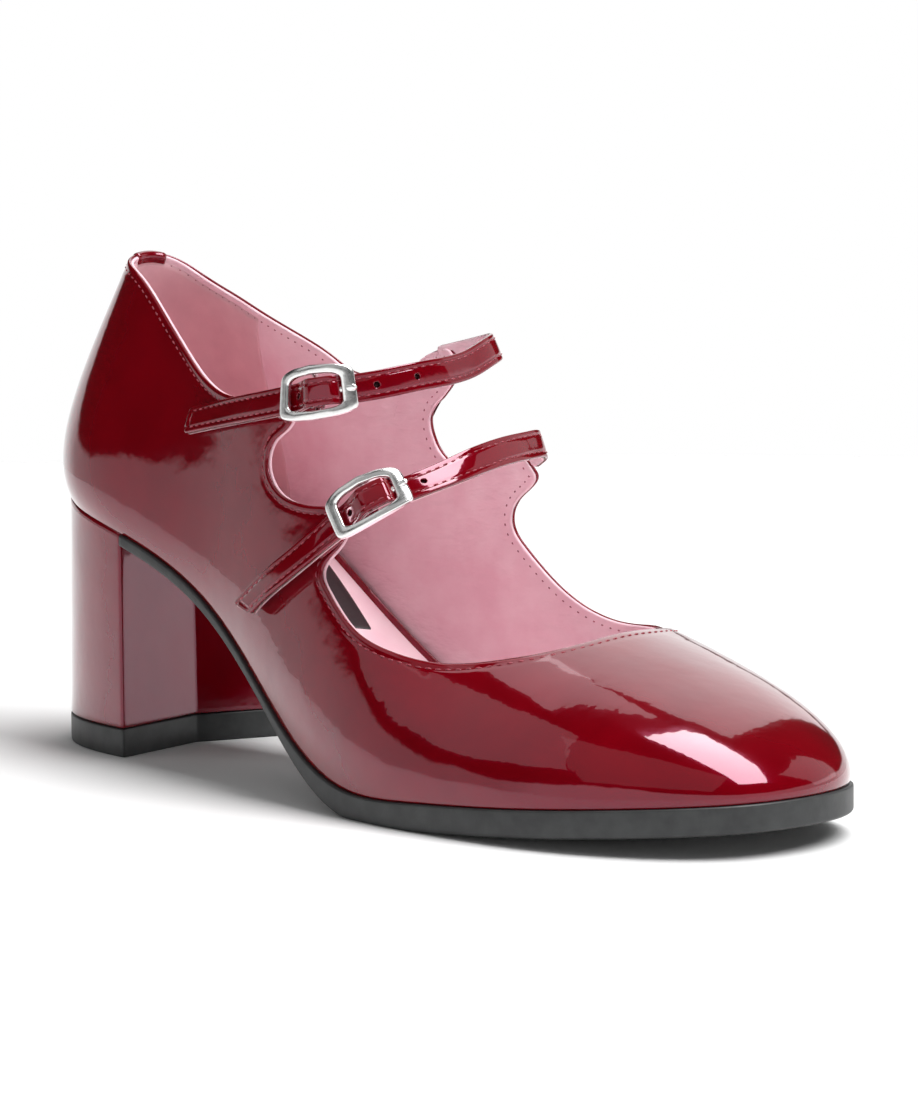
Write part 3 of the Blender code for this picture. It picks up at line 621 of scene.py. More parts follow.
def thin_edge(top: np.ndarray, low: np.ndarray, share: float) -> np.ndarray:
    """Upper grid with its border rows drawn down, so a thin piece ends softly.

    Args:
        top: upper grid.
        low: lower grid of the same size.
        share: part of the thickness that the border keeps.

    Returns:
        The new upper grid.
    """
    top = top.copy()
    for cut in (0, -1):
        top[cut] = top[cut] * share + low[cut] * (1 - share)
        top[:, cut] = top[:, cut] * share + low[:, cut] * (1 - share)
    return top


@dataclass
class Rim:
    """Samples along the top line or a line inside it.

    foot, around and up are shares on the form; point, face and out are the place, the
    outward normal and the way past the leather's edge.
    """

    foot: np.ndarray
    around: np.ndarray
    up: np.ndarray
    point: np.ndarray
    face: np.ndarray
    out: np.ndarray

    def roll_over(self, deep: float, radius: float, turn: np.ndarray) -> np.ndarray:
        """Arc over the edge: a circle swept from the face toward the leather's end.

        Args:
            deep: how far its centre lies under the face.
            radius: size of the circle.
            turn: angles from the face in radians.

        Returns:
            Samples, points of the arc, coordinates.
        """
        middle = self.point - self.face * deep
        return middle[:, None] + radius * (self.face[:, None] * np.cos(turn)[None, :, None]
                                           + self.out[:, None] * np.sin(turn)[None, :, None])


@dataclass
class FootForm:
    """Last with the top line on it: a cubic Bezier wall over the foot edge.

    The wall starts inset from the foot edge and seat_gap above it, lean draws the feet
    of its columns toward the heel, and fold is the depth of the heel breast.
    """

    length: float = 233.0
    half_width: float = 39.0
    collar: float = 117.0
    heel: float = 60.0
    inset: float = 0.8
    seat_gap: float = 0.38
    lean: float = 0.045
    fold: float = 7.0
    fold_reach: float = 22.0
    rows: np.ndarray = field(init=False)
    knots: np.ndarray = field(init=False)
    seat_rows: np.ndarray = field(init=False)

    def __post_init__(self) -> None:
        """Turn the shares of the tables into millimetres and degrees."""
        self.rows = np.array(SECTIONS) * np.array((
            self.length, self.half_width, self.length, self.half_width, self.collar,
            self.heel, 1, self.heel, 1))
        edge = self.rows[:, :2]
        leg = np.hypot(*(np.roll(edge, -1, 0) - edge).T)
        self.knots = np.concatenate([[0], np.cumsum(leg)[:-1]]) / leg.sum()
        self.seat_rows = np.array(SEAT) * np.array((self.length, self.heel))

    def seat(self, along: np.ndarray) -> np.ndarray:
        """Height of the foot edge at a place along the shoe."""
        flat = open_curve(self.seat_rows[:, 0], self.seat_rows[:, 1], np.ravel(along))
        return flat.reshape(np.shape(along))

    def edge(self, around: np.ndarray) -> tuple[np.ndarray, np.ndarray]:
        """Plan points of the foot edge and their outward directions.

        Args:
            around: shares of the foot edge.

        Returns:
            Points and directions, square to the curve's slope.
        """
        small = 1e-4
        here = closed_curve(self.knots, self.rows[:, :2], around)
        run = (closed_curve(self.knots, self.rows[:, :2], around + small)
               - closed_curve(self.knots, self.rows[:, :2], around - small))
        return here, unit(np.stack([run[:, 1], -run[:, 0]], 1))

    def surface(self, around: np.ndarray, up: np.ndarray) -> np.ndarray:
        """Point of the wall: cubic Bezier from the foot edge (up 0) to the cone edge (up 1).

        Args:
            around: share of the foot edge.
            up: share of the way to the cone edge.

        Returns:
            Points in the shape of the arguments.
        """
        shape = np.shape(around)
        around, up = np.ravel(around), np.ravel(up)[:, None]
        edge, out = self.edge(around)
        row = closed_curve(self.knots, self.rows[:, 2:], around)
        foot = edge - out * self.inset
        start = np.column_stack([foot, self.seat(foot[:, 0]) + self.seat_gap])
        out = np.column_stack([out, np.zeros(len(out))])
        top = np.array([0.0, 0.0, 1.0])
        lean, fall = np.radians(row[:, 4:5]), np.radians(row[:, 6:7])
        end = row[:, :3]
        rise = start + row[:, 3:4] * (out * np.sin(lean) + top * np.cos(lean))
        drop = end + row[:, 5:6] * (out * np.cos(fall) - top * np.sin(fall))
        back = 1 - up
        point = (back ** 3 * start + 3 * back ** 2 * up * rise
                 + 3 * back * up ** 2 * drop + up ** 3 * end)
        return point.reshape(shape + (3,))

    def slopes(self, around: np.ndarray, up: np.ndarray) -> tuple[np.ndarray, np.ndarray]:
        """Change of the wall point per share around and per share up, by differences.

        Args:
            around: share of the foot edge.
            up: share of the way to the cone edge.

        Returns:
            The two slopes in the shape of the arguments.
        """
        small = 1e-4
        side = self.surface(around + small, up) - self.surface(around - small, up)
        rise = self.surface(around, up + small) - self.surface(around, up - small)
        return side / (2 * small), rise / (2 * small)

    def normal(self, around: np.ndarray, up: np.ndarray) -> np.ndarray:
        """Outward direction of the wall, the cross product of its two slopes."""
        return unit(np.cross(*self.slopes(around, up)))

    def line_frame(self, around: np.ndarray, up: np.ndarray) -> tuple[np.ndarray, ...]:
        """Directions along a closed line on the wall.

        The way past the edge is square to the line and to the wall's normal.

        Args:
            around: share of the foot edge at each sample.
            up: share of the way to the cone edge.

        Returns:
            Point, normal, way past the edge, slope around and slope up.
        """
        point = self.surface(around, up)
        side, rise = self.slopes(around, up)
        face = unit(np.cross(side, rise))
        run = unit(np.roll(point, -1, 0) - np.roll(point, 1, 0))
        out = unit(np.cross(face, run))
        return point, face, out * np.sign(np.sum(out * rise)), side, rise

    def rim(self, count: int, inset: float = 0.0) -> Rim:
        """Evenly spaced samples of the top line, or of a line inset into the leather.

        The inset is walked in short steps, each solved for its two shares.

        Args:
            count: number of samples.
            inset: distance from the top line in millimetres.

        Returns:
            The samples with their directions.
        """
        lift = np.array(TOP_LINE)
        place = self.surface(lift[:, 0], lift[:, 1])
        leg = np.linalg.norm(np.roll(place, -1, 0) - place, axis=1)
        knots = np.concatenate([[0], np.cumsum(leg)[:-1]]) / leg.sum()
        drift = lift - np.column_stack([knots, np.zeros(len(knots))])
        at = np.arange(count) / count
        line = closed_curve(knots, drift, at)
        around, up = line[:, 0] + at, line[:, 1]
        # A column's foot follows the rim's bell average, so columns don't crowd below
        samples, spread = 720, 45.0
        fine = np.arange(samples) / samples
        wide = closed_curve(knots, drift, fine)[:, 0]
        reach = np.arange(-150, 151)
        weight = np.exp(-(reach / spread) ** 2)
        soft = sum(w * np.roll(wide, -r) for w, r in zip(weight, reach)) / weight.sum()
        foot = at + np.interp(at, fine, soft, period=1.0)
        foot -= self.lean * np.sin(2 * math.pi * foot)
        longest_step = 0.5
        steps = math.ceil(inset / longest_step)
        for _ in range(steps):
            _, _, out, side, rise = self.line_frame(around, up)
            push = -out * inset / steps
            aa, bb, ab = (side * side).sum(1), (rise * rise).sum(1), (side * rise).sum(1)
            pa, pb = (push * side).sum(1), (push * rise).sum(1)
            room = aa * bb - ab * ab
            around = around + (pa * bb - pb * ab) / room
            up = up + (pb * aa - pa * ab) / room
        return Rim(foot, around, up, *self.line_frame(around, up)[:3])

    def wall(self, rim: Rim, share: np.ndarray) -> tuple[np.ndarray, np.ndarray]:
        """Wall points and normals from the foot edge (share 0) to a rim (share 1).

        Columns start evenly at the foot and swing to the rim with the cube of the share.

        Args:
            rim: line where the columns end.
            share: shares of the way up.

        Returns:
            Points and normals, one row per sample of the rim.
        """
        share = share[None, :]
        place = rim.foot[:, None] + (rim.around - rim.foot)[:, None] * share ** 3
        lift = rim.up[:, None] * share
        return self.surface(place, lift), self.normal(place, lift)

    def outline(self, inset: float, count: int = 1440) -> tuple[np.ndarray, np.ndarray]:
        """Plan points inside the foot edge and their outward directions."""
        edge, out = self.edge(np.arange(count) / count)
        return edge - out * inset, out

    def plan(self, inset: float, long: int, wide: int, breast: float | None = None) -> np.ndarray:
        """Plan grid across the foot outline, rows from lateral to medial.

        Args:
            inset: distance inside the foot edge.
            long: rows, closer together at both ends, or at the toe alone with a breast.
            wide: points in a row, closer together at both edges.
            breast: place of a folded heel breast where it starts, or the whole length.

        Returns:
            Rows, points, two plan coordinates.
        """
        line, _ = self.outline(inset)
        line = np.roll(line, -int(np.argmin(line[:, 0])), 0)
        tip = int(np.argmax(line[:, 0]))
        lateral, medial = line[:tip + 1], np.vstack([line[tip:], line[:1]])[::-1]
        margin = 0.03
        low = line[:, 0].min() + margin if breast is None else breast
        high = line[:, 0].max() - margin
        turn = (1 - np.cos(np.linspace(0, math.pi, long))) / 2
        if breast is not None:
            turn = 1 - (1 - np.linspace(0, 1, long)) ** 1.7
        along = low + (high - low) * turn
        left = np.interp(along, lateral[:, 0], lateral[:, 1])
        right = np.interp(along, medial[:, 0], medial[:, 1])
        share = (1 - np.cos(np.linspace(0, math.pi, wide))) / 2
        grid = np.zeros((long, wide, 2))
        grid[..., 0] = along[:, None]
        grid[..., 1] = left[:, None] + (right - left)[:, None] * share[None, :]
        if breast is not None:
            near = np.clip(1 - np.abs(along - breast) / self.fold_reach, 0, 1) ** 1.5
            grid[..., 0] -= near[:, None] * self.fold * (1 - np.abs(1 - 2 * share))[None, :]
        return grid

    def edge_gap(self, grid: np.ndarray, inset: float) -> np.ndarray:
        """Distance of plan points inside the foot outline inset by a given amount.

        It is measured along the outward direction at the nearest sample, so it
        changes evenly from sample to sample.

        Args:
            grid: rows of plan points.
            inset: distance of the outline inside the foot edge.

        Returns:
            One distance per point, 0 outside.
        """
        line, out = self.outline(inset)
        gaps = []
        for part in np.array_split(grid.reshape(-1, 2), 16):
            near = ((part[:, None] - line[None]) ** 2).sum(-1).argmin(1)
            gaps.append(np.sum((line[near] - part) * out[near], 1))
        return np.maximum(np.concatenate(gaps), 0.0).reshape(grid.shape[:2])


def soft_edge(gap: np.ndarray, radius: float) -> np.ndarray:
    """Drop of a quarter-round edge: the radius less the circle's height over the gap."""
    left = np.clip(radius - gap, 0, radius)
    return radius - np.sqrt(radius ** 2 - left ** 2)


def raised(grid: np.ndarray, height: np.ndarray) -> np.ndarray:
    """Plan grid with a height for each point."""
    return np.concatenate([grid, np.broadcast_to(height, grid.shape[:2])[..., None]], -1)


@dataclass
class Thread:
    """Lock stitches: small round-ended loops half sunk in the leather."""

    pitch: float = 2.3
    length: float = 1.75
    radius: float = 0.2

    def lay(self, path: np.ndarray, face: np.ndarray,
            closed: bool) -> tuple[np.ndarray, np.ndarray]:
        """One capsule per pitch along a path.

        Each capsule is a ring of six points swept over half a sine, so both ends close
        to a point, and it bows up in the middle.

        Args:
            path: points along the seam.
            face: outward direction at each point.
            closed: join the last point to the first.

        Returns:
            Points and quads of all stitches.
        """
        if closed:
            path = np.vstack([path, path[:1]])
            face = np.vstack([face, face[:1]])
        leg = np.concatenate([[0], np.cumsum(np.linalg.norm(np.diff(path, axis=0), axis=1))])
        count = max(1, int(leg[-1] / self.pitch))
        middle = (np.arange(count) + 0.5) * leg[-1] / count
        rows, sides = 7, 6
        turn = np.arange(sides) / sides * 2 * math.pi
        share = np.linspace(-1, 1, rows)
        place = middle[:, None] + share[None, :] * self.length / 2
        centre = np.stack([np.interp(place, leg, path[:, k]) for k in range(3)], -1)
        normal = unit(np.stack([np.interp(place, leg, face[:, k]) for k in range(3)], -1))
        ahead = unit(np.gradient(centre, axis=1))
        across = unit(np.cross(normal, ahead))
        thick = self.radius * np.maximum(np.cos(share * math.pi / 2) ** 0.5, 0.06)
        bow = self.radius * (np.cos(share * math.pi / 2) - 0.55)
        round_ = (across[:, :, None] * np.cos(turn)[None, None, :, None]
                  + normal[:, :, None] * np.sin(turn)[None, None, :, None])
        ring = (centre[:, :, None] + normal[:, :, None] * bow[None, :, None, None]
                + thick[None, :, None, None] * round_)
        quads = grid_quads(rows, sides, False, True)
        ends = np.array([[0, 1, 2, 3], [0, 3, 4, 5]])
        quads = np.vstack([quads, ends[:, ::-1], ends + (rows - 1) * sides])
        size = rows * sides
        every = (np.arange(count)[:, None, None] * size + quads[None]).reshape(-1, 4)
        return ring.reshape(-1, 3), every


@dataclass
class Finishes:
    """Every finish of the shoe, made once."""

    patent: bpy.types.Material = field(init=False)
    lining: bpy.types.Material = field(init=False)
    grip: bpy.types.Material = field(init=False)
    sock: bpy.types.Material = field(init=False)
    rubber: bpy.types.Material = field(init=False)
    metal: bpy.types.Material = field(init=False)
    thread: bpy.types.Material = field(init=False)
    pink_thread: bpy.types.Material = field(init=False)
    cut_edge: bpy.types.Material = field(init=False)
    label: bpy.types.Material = field(init=False)
    hole: bpy.types.Material = field(init=False)

    def __post_init__(self) -> None:
        """Build the materials from their frozen descriptions."""
        self.patent = PatentLeather().build()
        self.lining = LiningLeather().build()
        # Brushed suede side of the same hide, greyer and dull, so the heel doesn't slip
        self.grip = LiningLeather("pink suede heel grip", "#ecbec4", "#dfafb7", 0.8, 0.35,
                                  0.05, 0.05).build()
        # Thin glazed sock leather over foam, paler than the wall lining
        self.sock = LiningLeather("pale pink sock leather", "#fadde3", "#f4ced8", 0.34, 0.4,
                                  0.015, 0.06).build()
        self.rubber = SoleRubber().build()
        self.metal = BuckleMetal().build()
        # Bonded polyester sewing thread, dyed to the leather, with a slight sheen
        self.thread = PlainFinish("burgundy polyester thread", "#b04a58", "#7c1c2a", 0.4,
                                  0.25).build()
        self.pink_thread = PlainFinish("rose polyester thread", "#b0586c", "#94455a", 0.45,
                                       0.25).build()
        # Raw edge of the split leather, grey-beige fibres
        self.cut_edge = PlainFinish("raw cut leather edge", "#a89a90", "#6f625c", 0.85, 0.3,
                                    0.05).build()
        # Woven patch with a black foil face
        self.label = PlainFinish("black foil patch", "#1c1c1c", "#131313", 0.35, 0.6,
                                 0.01).build()
        # Painted shade: dark burgundy on plugs at the hole floors, standing for the shadow down
        # each punched hole
        self.hole = PlainFinish("painted shade in punched holes", "#3c060e", "#26040a", 0.6,
                                0.3).build()


@dataclass
class Upper:
    """Patent skin with a folded top edge, its lining, heel grip, back stay and top seam.

    The skin and the lining are parts of one wall with a thin film of glue between them.
    """

    form: FootForm
    finish: Finishes
    skin: float = 0.7
    wall: float = 1.6
    glue: float = 0.03
    count: int = 760
    rows: int = 66
    swell: float = 0.08
    swell_at: float = 0.8
    swell_spread: float = 0.5
    seam_inset: float = 1.8
    seam_depth: float = 0.14
    seam_spread: float = 0.38
    lining_drop: float = 0.05
    grip_inset: float = 1.5
    grip_thick: float = 0.32
    grip_ends: tuple[float, float] = (-0.112, 0.150)
    grip_sweep: float = 0.37
    stay_half: float = 4.6
    stay_long: float = 23.0
    stay_inside: float = 1.1
    stay_thick: float = 0.48
    stay_sunk: float = 0.06

    def relief(self, points: np.ndarray, line: np.ndarray) -> np.ndarray:
        """Height of the skin near its edge: a soft fold, then the trough of the seam.

        Two bell curves of the distance to the top line are added.

        Args:
            points: grid of wall points.
            line: samples of the top line.

        Returns:
            One height per point.
        """
        gap = nearest(points.reshape(-1, 3), line).reshape(points.shape[:2])
        fold = self.swell * np.exp(-((gap - self.swell_at) / self.swell_spread) ** 2)
        return fold - self.seam_depth * np.exp(-((gap - self.seam_inset) / self.seam_spread) ** 2)

    def build_skin(self) -> None:
        """Ring-shaped skin: outside, half-round fold at the top line, inside, tuck at the sole."""
        half = self.skin / 2
        rim = self.form.rim(self.count, half)
        line = self.form.rim(self.count).point
        outside, face = self.form.wall(rim, np.linspace(0, 1, self.rows))
        high = self.rows // 3
        lift = np.zeros(outside.shape[:2])
        lift[:, high:] = self.relief(outside[:, high:], line)
        outside = outside + face * lift[..., None]
        fold = rim.roll_over(half, half, np.linspace(0, math.pi, 9)[1:])
        inside, face_in = self.form.wall(rim, np.linspace(1, 0, 14)[1:])
        inside = inside - face_in * self.skin
        inside[:, -1, 2] = outside[:, 0, 2]
        first, normal = outside[:, 0], face[:, 0].copy()
        normal[:, 2] = 0
        normal = unit(normal)
        down = np.array([0.0, 0.0, -1.0])
        # Steps of the tuck: inward and down from the foot edge
        tuck = [first - normal * back + down * low for back, low in
                ((0.62, 0.46), (0.40, 0.42), (0.2, 0.30), (0.07, 0.16))]
        ring = np.concatenate([np.stack(tuck, 1), outside, fold, inside], 1)
        points, faces = loft(ring, True)
        piece = make_piece("upper_skin", points, faces, self.finish.patent)
        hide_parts("upper")

    def build_lining(self) -> None:
        """Ring-shaped lining behind the skin, its top edge rounded and level with the fold."""
        half = (self.wall - self.skin - self.glue) / 2
        rim = self.form.rim(self.count, half + self.lining_drop)
        near, face = self.form.wall(rim, np.linspace(0, 1, 40))
        inner = near - face * self.wall
        fold = rim.roll_over(self.wall - half, half, np.linspace(math.pi, 0, 9)[1:-1])
        back, face_back = self.form.wall(rim, np.linspace(1, 0, 12))
        outer = back - face_back * (self.skin + self.glue)
        inner[:, 0, 2] = outer[:, -1, 2] = near[:, 0, 2]
        points, faces = loft(np.concatenate([inner, fold, outer], 1), True)
        make_piece("upper_lining", points, faces, self.finish.lining)

    def build_grip(self) -> None:
        """Suede heel grip: a thin layer on the lining round the heel.

        Its medial seam runs forward from the top line to the sock, so its columns are
        drawn toward the heel by the share of the way up.
        """
        rim = self.form.rim(self.count, self.grip_inset)
        at = np.arange(self.count) / self.count
        share = np.linspace(0.02, 1, 40)[None, :]
        column = np.linspace(*self.grip_ends, 200)[:, None]
        column = np.where(column < 0, column * (1 - self.grip_sweep * share), column + 0 * share)
        foot, around = (column + np.interp(column, at, line - at, period=1.0)
                        for line in (rim.foot, rim.around))
        place = foot + (around - foot) * share ** 3
        lift = np.interp(column, at, rim.up, period=1.0) * share
        near, face = self.form.surface(place, lift), self.form.normal(place, lift)
        high = near - face * (self.wall + self.grip_thick)
        low = near - face * (self.wall - 0.1)
        points, faces = slab(thin_edge(high, low, 0.4), low)
        make_piece("heel_grip", points, faces, self.finish.grip)

    def build_stay(self) -> None:
        """Back stay: a strip folded over the collar at the heel, long outside, short inside."""
        rim = self.form.rim(self.count, self.wall / 2)
        leg = np.linalg.norm(rim.point[1] - rim.point[0])
        side = int(round(self.stay_half / leg))
        keep = np.arange(-side, side + 1) % self.count
        rim = Rim(*(getattr(rim, name)[keep] for name in
                    ("foot", "around", "up", "point", "face", "out")))
        column = np.linalg.norm(rim.point[side] - self.form.surface(rim.foot[side:side + 1],
                                                                    np.zeros(1))[0])
        outside, face = self.form.wall(rim, np.linspace(1 - self.stay_long / column, 1, 44))
        inside, face_in = self.form.wall(rim, np.linspace(1, 1 - self.stay_inside / column, 9))
        turn = np.linspace(0, math.pi, 12)[1:-1]
        top, low = (np.concatenate([outside + face * lift,
                                    rim.roll_over(self.wall / 2, self.wall / 2 + lift, turn),
                                    inside - face_in * (self.wall + lift)], 1)
                    for lift in (self.stay_thick, -self.stay_sunk))
        points, faces = slab(thin_edge(top, low, 0.45), low)
        make_piece("back_stay", points, faces, self.finish.patent)

    def build_seams(self) -> None:
        """Seam along the top line, outside in burgundy and inside as small rose dots."""
        rim = self.form.rim(1600, self.seam_inset)
        path = rim.point - rim.face * (self.seam_depth - 0.02)
        points, faces = Thread(pitch=2.3, length=1.7, radius=0.19).lay(path, rim.face, True)
        make_piece("top_seam", points, [faces], self.finish.thread)
        path = rim.point - rim.face * (self.wall - 0.02)
        points, faces = Thread(pitch=2.3, length=0.75, radius=0.17).lay(path, -rim.face, True)
        make_piece("lining_seam", points, [faces], self.finish.pink_thread)

    def build(self) -> None:
        """Build every piece of the upper."""
        self.build_skin()
        self.build_lining()
        self.build_grip()
        self.build_stay()
        self.build_seams()


@dataclass
class FootBed:
    """Wrapped insole board, padded sock and its plain patch.

    The patch starts at a corner by the instep and runs back along patch_way, a pair of
    the cosine and sine of its turn.
    """

    form: FootForm
    finish: Finishes
    inset: float = 3.3
    sock_inset: float = 5.1
    board: float = 1.7
    sock: float = 0.9
    overlap: float = 0.1
    bead: float = 2.0
    bead_at: float = 0.95
    bead_spread: float = 0.72
    pad: float = 0.35
    pad_reach: float = 5.0
    patch_long: float = 46.0
    patch_wide: float = 14.0
    patch_corner: tuple[float, float] = (93.5, 6.5)
    patch_way: tuple[float, float] = (0.976, 0.219)
    patch_thick: float = 0.12
    patch_sunk: float = 0.15

    def build_board(self) -> None:
        """Board in burgundy leather: plan grid with a padded bead round the sock.

        The bead is a flat-topped bell over the distance from the edge.
        """
        grid = self.form.plan(self.inset, 240, 68)
        gap = self.form.edge_gap(grid, self.inset)
        low = self.form.seat(grid[..., 0]) + self.form.seat_gap
        bead = self.bead * np.exp(-((gap - self.bead_at) / self.bead_spread) ** 4)
        high = low + self.board + bead - soft_edge(gap, 0.3)
        points, faces = slab(raised(grid, high), raised(grid, low))
        piece = make_piece("insole_board", points, faces, self.finish.patent)
        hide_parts("insole")

    def sock_height(self, grid: np.ndarray) -> np.ndarray:
        """Top of the sock: the board's height, crowned by a soft pad away from the edge.

        Args:
            grid: rows of plan points.

        Returns:
            One height per point.
        """
        low = self.form.seat(grid[..., 0]) + self.form.seat_gap + self.board
        gap = self.form.edge_gap(grid, self.sock_inset)
        pad = self.pad * (1 - np.exp(-(gap / self.pad_reach) ** 2))
        return low + self.sock + self.overlap + pad - soft_edge(gap, 0.55)

    def build_sock(self) -> None:
        """Sock of pink leather over thin foam."""
        grid = self.form.plan(self.sock_inset, 220, 48)
        low = self.form.seat(grid[..., 0]) + self.form.seat_gap + self.board - self.overlap
        points, faces = slab(raised(grid, self.sock_height(grid)), raised(grid, low))
        piece = make_piece("sock_pad", points, faces, self.finish.sock)
        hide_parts("sock")

    def build_patch(self) -> None:
        """Plain black patch lying on the sock, left bare."""
        long, wide = np.meshgrid(np.linspace(0, self.patch_long, 60),
                                 np.linspace(0, self.patch_wide, 30), indexing="ij")
        (start, side), (back, turn) = self.patch_corner, self.patch_way
        grid = np.stack([start - back * long - turn * wide, side + turn * long - back * wide], -1)
        high = self.sock_height(grid)
        top, low = raised(grid, high + self.patch_thick), raised(grid, high - self.patch_sunk)
        points, faces = slab(thin_edge(top, low, 0.5), low)
        make_piece("sock_patch", points, faces, self.finish.label)

    def build(self) -> None:
        """Build board, sock and patch."""
        self.build_board()
        self.build_sock()
        self.build_patch()


@dataclass
class Sole:
    """Black rubber outsole from the heel breast to the toe, with a fine tread.

    It thickens between the two places of thicken, and the tread of shallow V ribs lies
    between the two places of tread_along, inside a plain border.
    """

    form: FootForm
    finish: Finishes
    start: float = 42.4
    thin: float = 2.8
    full: float = 5.9
    thicken: tuple[float, float] = (100.0, 142.0)
    tread_depth: float = 0.45
    tread_pitch: float = 3.6
    tread_along: tuple[float, float] = (120.0, 212.0)
    tread_fade: float = 6.0
    border: float = 7.0
    border_fade: float = 1.5
    top_round: float = 0.5
    low_round: float = 0.9

    def tread(self, along: np.ndarray, across: np.ndarray, gap: np.ndarray) -> np.ndarray:
        """Depth of the tread: a cosine of the place, cut sharp, faded at its borders.

        Args:
            along: place along the shoe.
            across: place across it.
            gap: distance from the foot edge.

        Returns:
            One depth per point.
        """
        first, last = self.tread_along
        inside = (smooth_step(self.border, self.border + self.border_fade, gap)
                  * smooth_step(first, first + self.tread_fade, along)
                  * (1 - smooth_step(last - self.tread_fade, last, along)))
        wave = 0.5 + 0.5 * np.cos(2 * math.pi * (along + 0.5 * np.abs(across)) / self.tread_pitch)
        return self.tread_depth * inside * smooth_step(0.72, 0.86, wave)

    def build(self) -> None:
        """Plan grid raised to the seat, lower side less the thickness, edges rounded."""
        grid = self.form.plan(0.0, 330, 64, self.start)
        gap = self.form.edge_gap(grid, 0.0)
        seat = self.form.seat(grid[..., 0])
        thick = self.thin + (self.full - self.thin) * smooth_step(*self.thicken, grid[..., 0])
        low = np.maximum(seat - thick, 0.0) + soft_edge(gap, self.low_round)
        low = low + self.tread(grid[..., 0], grid[..., 1], gap)
        top = seat - soft_edge(gap, self.top_round)
        points, faces = slab(raised(grid, top), raised(grid, low))
        piece = make_piece("sole_unit", points, faces, self.finish.rubber)
        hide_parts("outsole")


@dataclass
class Heel:
    """Block heel covered in patent leather, folded breast, rubber top piece.

    The outline grows from the seat to the floor by the two flares and moves back.
    """

    form: FootForm
    finish: Finishes
    breast: float = 41.8
    lift: float = 6.6
    lift_gap: float = 0.22
    block_corner: float = 0.9
    lift_corner: float = 0.45
    flare_back: float = 1.3
    flare_long: float = 1.06
    flare_wide: float = 1.03

    def outline(self, radius: float) -> np.ndarray:
        """Plan outline of the heel seat with its two breast corners rounded.

        The polyline round the back and along the fold is resampled evenly, then near
        the corners it is replaced by its own running average.

        Args:
            radius: size of the rounding at the corners.

        Returns:
            Closed ring of plan points.
        """
        line, _ = self.form.outline(self.form.inset, 2880)
        line = np.roll(line, -int(np.argmin(line[:, 0])), 0)
        tip = int(np.argmax(line[:, 0]))
        lateral = line[:tip][line[:tip, 0] < self.breast]
        medial = line[tip:][line[tip:, 0] < self.breast]
        left, right = lateral[-1], medial[0]
        middle = np.array([self.breast - self.form.fold, (left[1] + right[1]) / 2])
        corner = np.array([left, right])
        ring = np.vstack([medial, lateral, middle[None]])
        ring = np.vstack([ring, ring[:1]])
        leg = np.concatenate([[0], np.cumsum(np.hypot(*np.diff(ring, axis=0).T))])
        count, blend = 420, 2.2 * radius
        at = np.arange(count) * leg[-1] / count
        even = np.stack([np.interp(at, leg, ring[:, k]) for k in (0, 1)], 1)
        reach = np.arange(-12, 13)
        weight = np.exp(-(reach * leg[-1] / count / radius) ** 2)
        calm = sum(w * np.roll(even, -r, 0) for w, r in zip(weight, reach)) / weight.sum()
        near = np.exp(-(nearest(even, corner) / blend) ** 2)[:, None]
        return calm * near + even * (1 - near)

    def level(self, ring: np.ndarray, share: float, inset: float = 0.0) -> np.ndarray:
        """Outline at one height, scaled by its share of the flares and drawn in.

        Args:
            ring: outline at the seat.
            share: 0 under the foot, 1 at the floor.
            inset: distance that each point moves toward the middle.

        Returns:
            Ring of plan points.
        """
        middle = ring.mean(0)
        way = ring - middle
        ring = middle + way * (1 - inset / np.maximum(np.hypot(*way.T), 1e-6))[:, None]
        ring = ring * np.array([1 + (self.flare_long - 1) * share,
                                1 + (self.flare_wide - 1) * share])
        ring[:, 0] -= self.flare_back * share
        return ring

    def stack(self, levels: list[tuple[np.ndarray, np.ndarray]]) -> tuple[np.ndarray,
                                                                          list[np.ndarray]]:
        """Closed body from outlines with their heights."""
        return loft(np.stack([np.column_stack([ring, np.broadcast_to(height, len(ring))])
                              for ring, height in levels]))

    def build_block(self) -> None:
        """Heel block: outline levels with a rounded lower edge, closed above and below."""
        ring = self.outline(self.block_corner)
        foot = self.lift + self.lift_gap
        levels = []
        # Closed cap under the foot bed
        for inset in (14.0, 8.0, 2.0, 0.35):
            high = self.level(ring, 0.0, inset)
            levels.append((high, self.form.seat(high[:, 0]) + 0.2))
        high = self.level(ring, 0.0)
        top = self.form.seat(high[:, 0]) - 0.05
        for share in np.linspace(0, 1, 40)[:-1]:
            levels.append((self.level(ring, share), top + (foot - top) * share))
        # Lower edge: inset and height over the foot
        for inset, rise in ((0.0, 0.45), (0.12, 0.15), (0.4, 0.0), (4.0, 0.0), (12.0, 0.0)):
            levels.append((self.level(ring, 1.0, inset), np.full(len(ring), foot + rise)))
        points, faces = self.stack(levels)
        piece = make_piece("heel_block", points, faces, self.finish.patent)
        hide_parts("heel")

    def build_lift(self) -> None:
        """Top piece of rubber under the block."""
        ring = self.outline(self.lift_corner)
        # Inset and height of each level, from its upper face over the side to the floor
        profile = ((12.0, self.lift), (4.0, self.lift), (0.5, self.lift),
                   (0.1, self.lift - 0.12), (0.0, self.lift - 0.4), (0.0, 3.0), (0.0, 0.5),
                   (0.12, 0.15), (0.5, 0.0), (4.0, 0.0), (12.0, 0.0))
        points, faces = self.stack([(self.level(ring, 1.0, inset), np.full(len(ring), height))
                                    for inset, height in profile])
        piece = make_piece("top_piece", points, faces, self.finish.rubber)
        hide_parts("top_lift")

    def build(self) -> None:
        """Build block and top piece."""
        self.build_block()
        self.build_lift()


class Side(Enum):
    """The two straps, rear nearer the heel."""

    REAR = "rear"
    FRONT = "front"


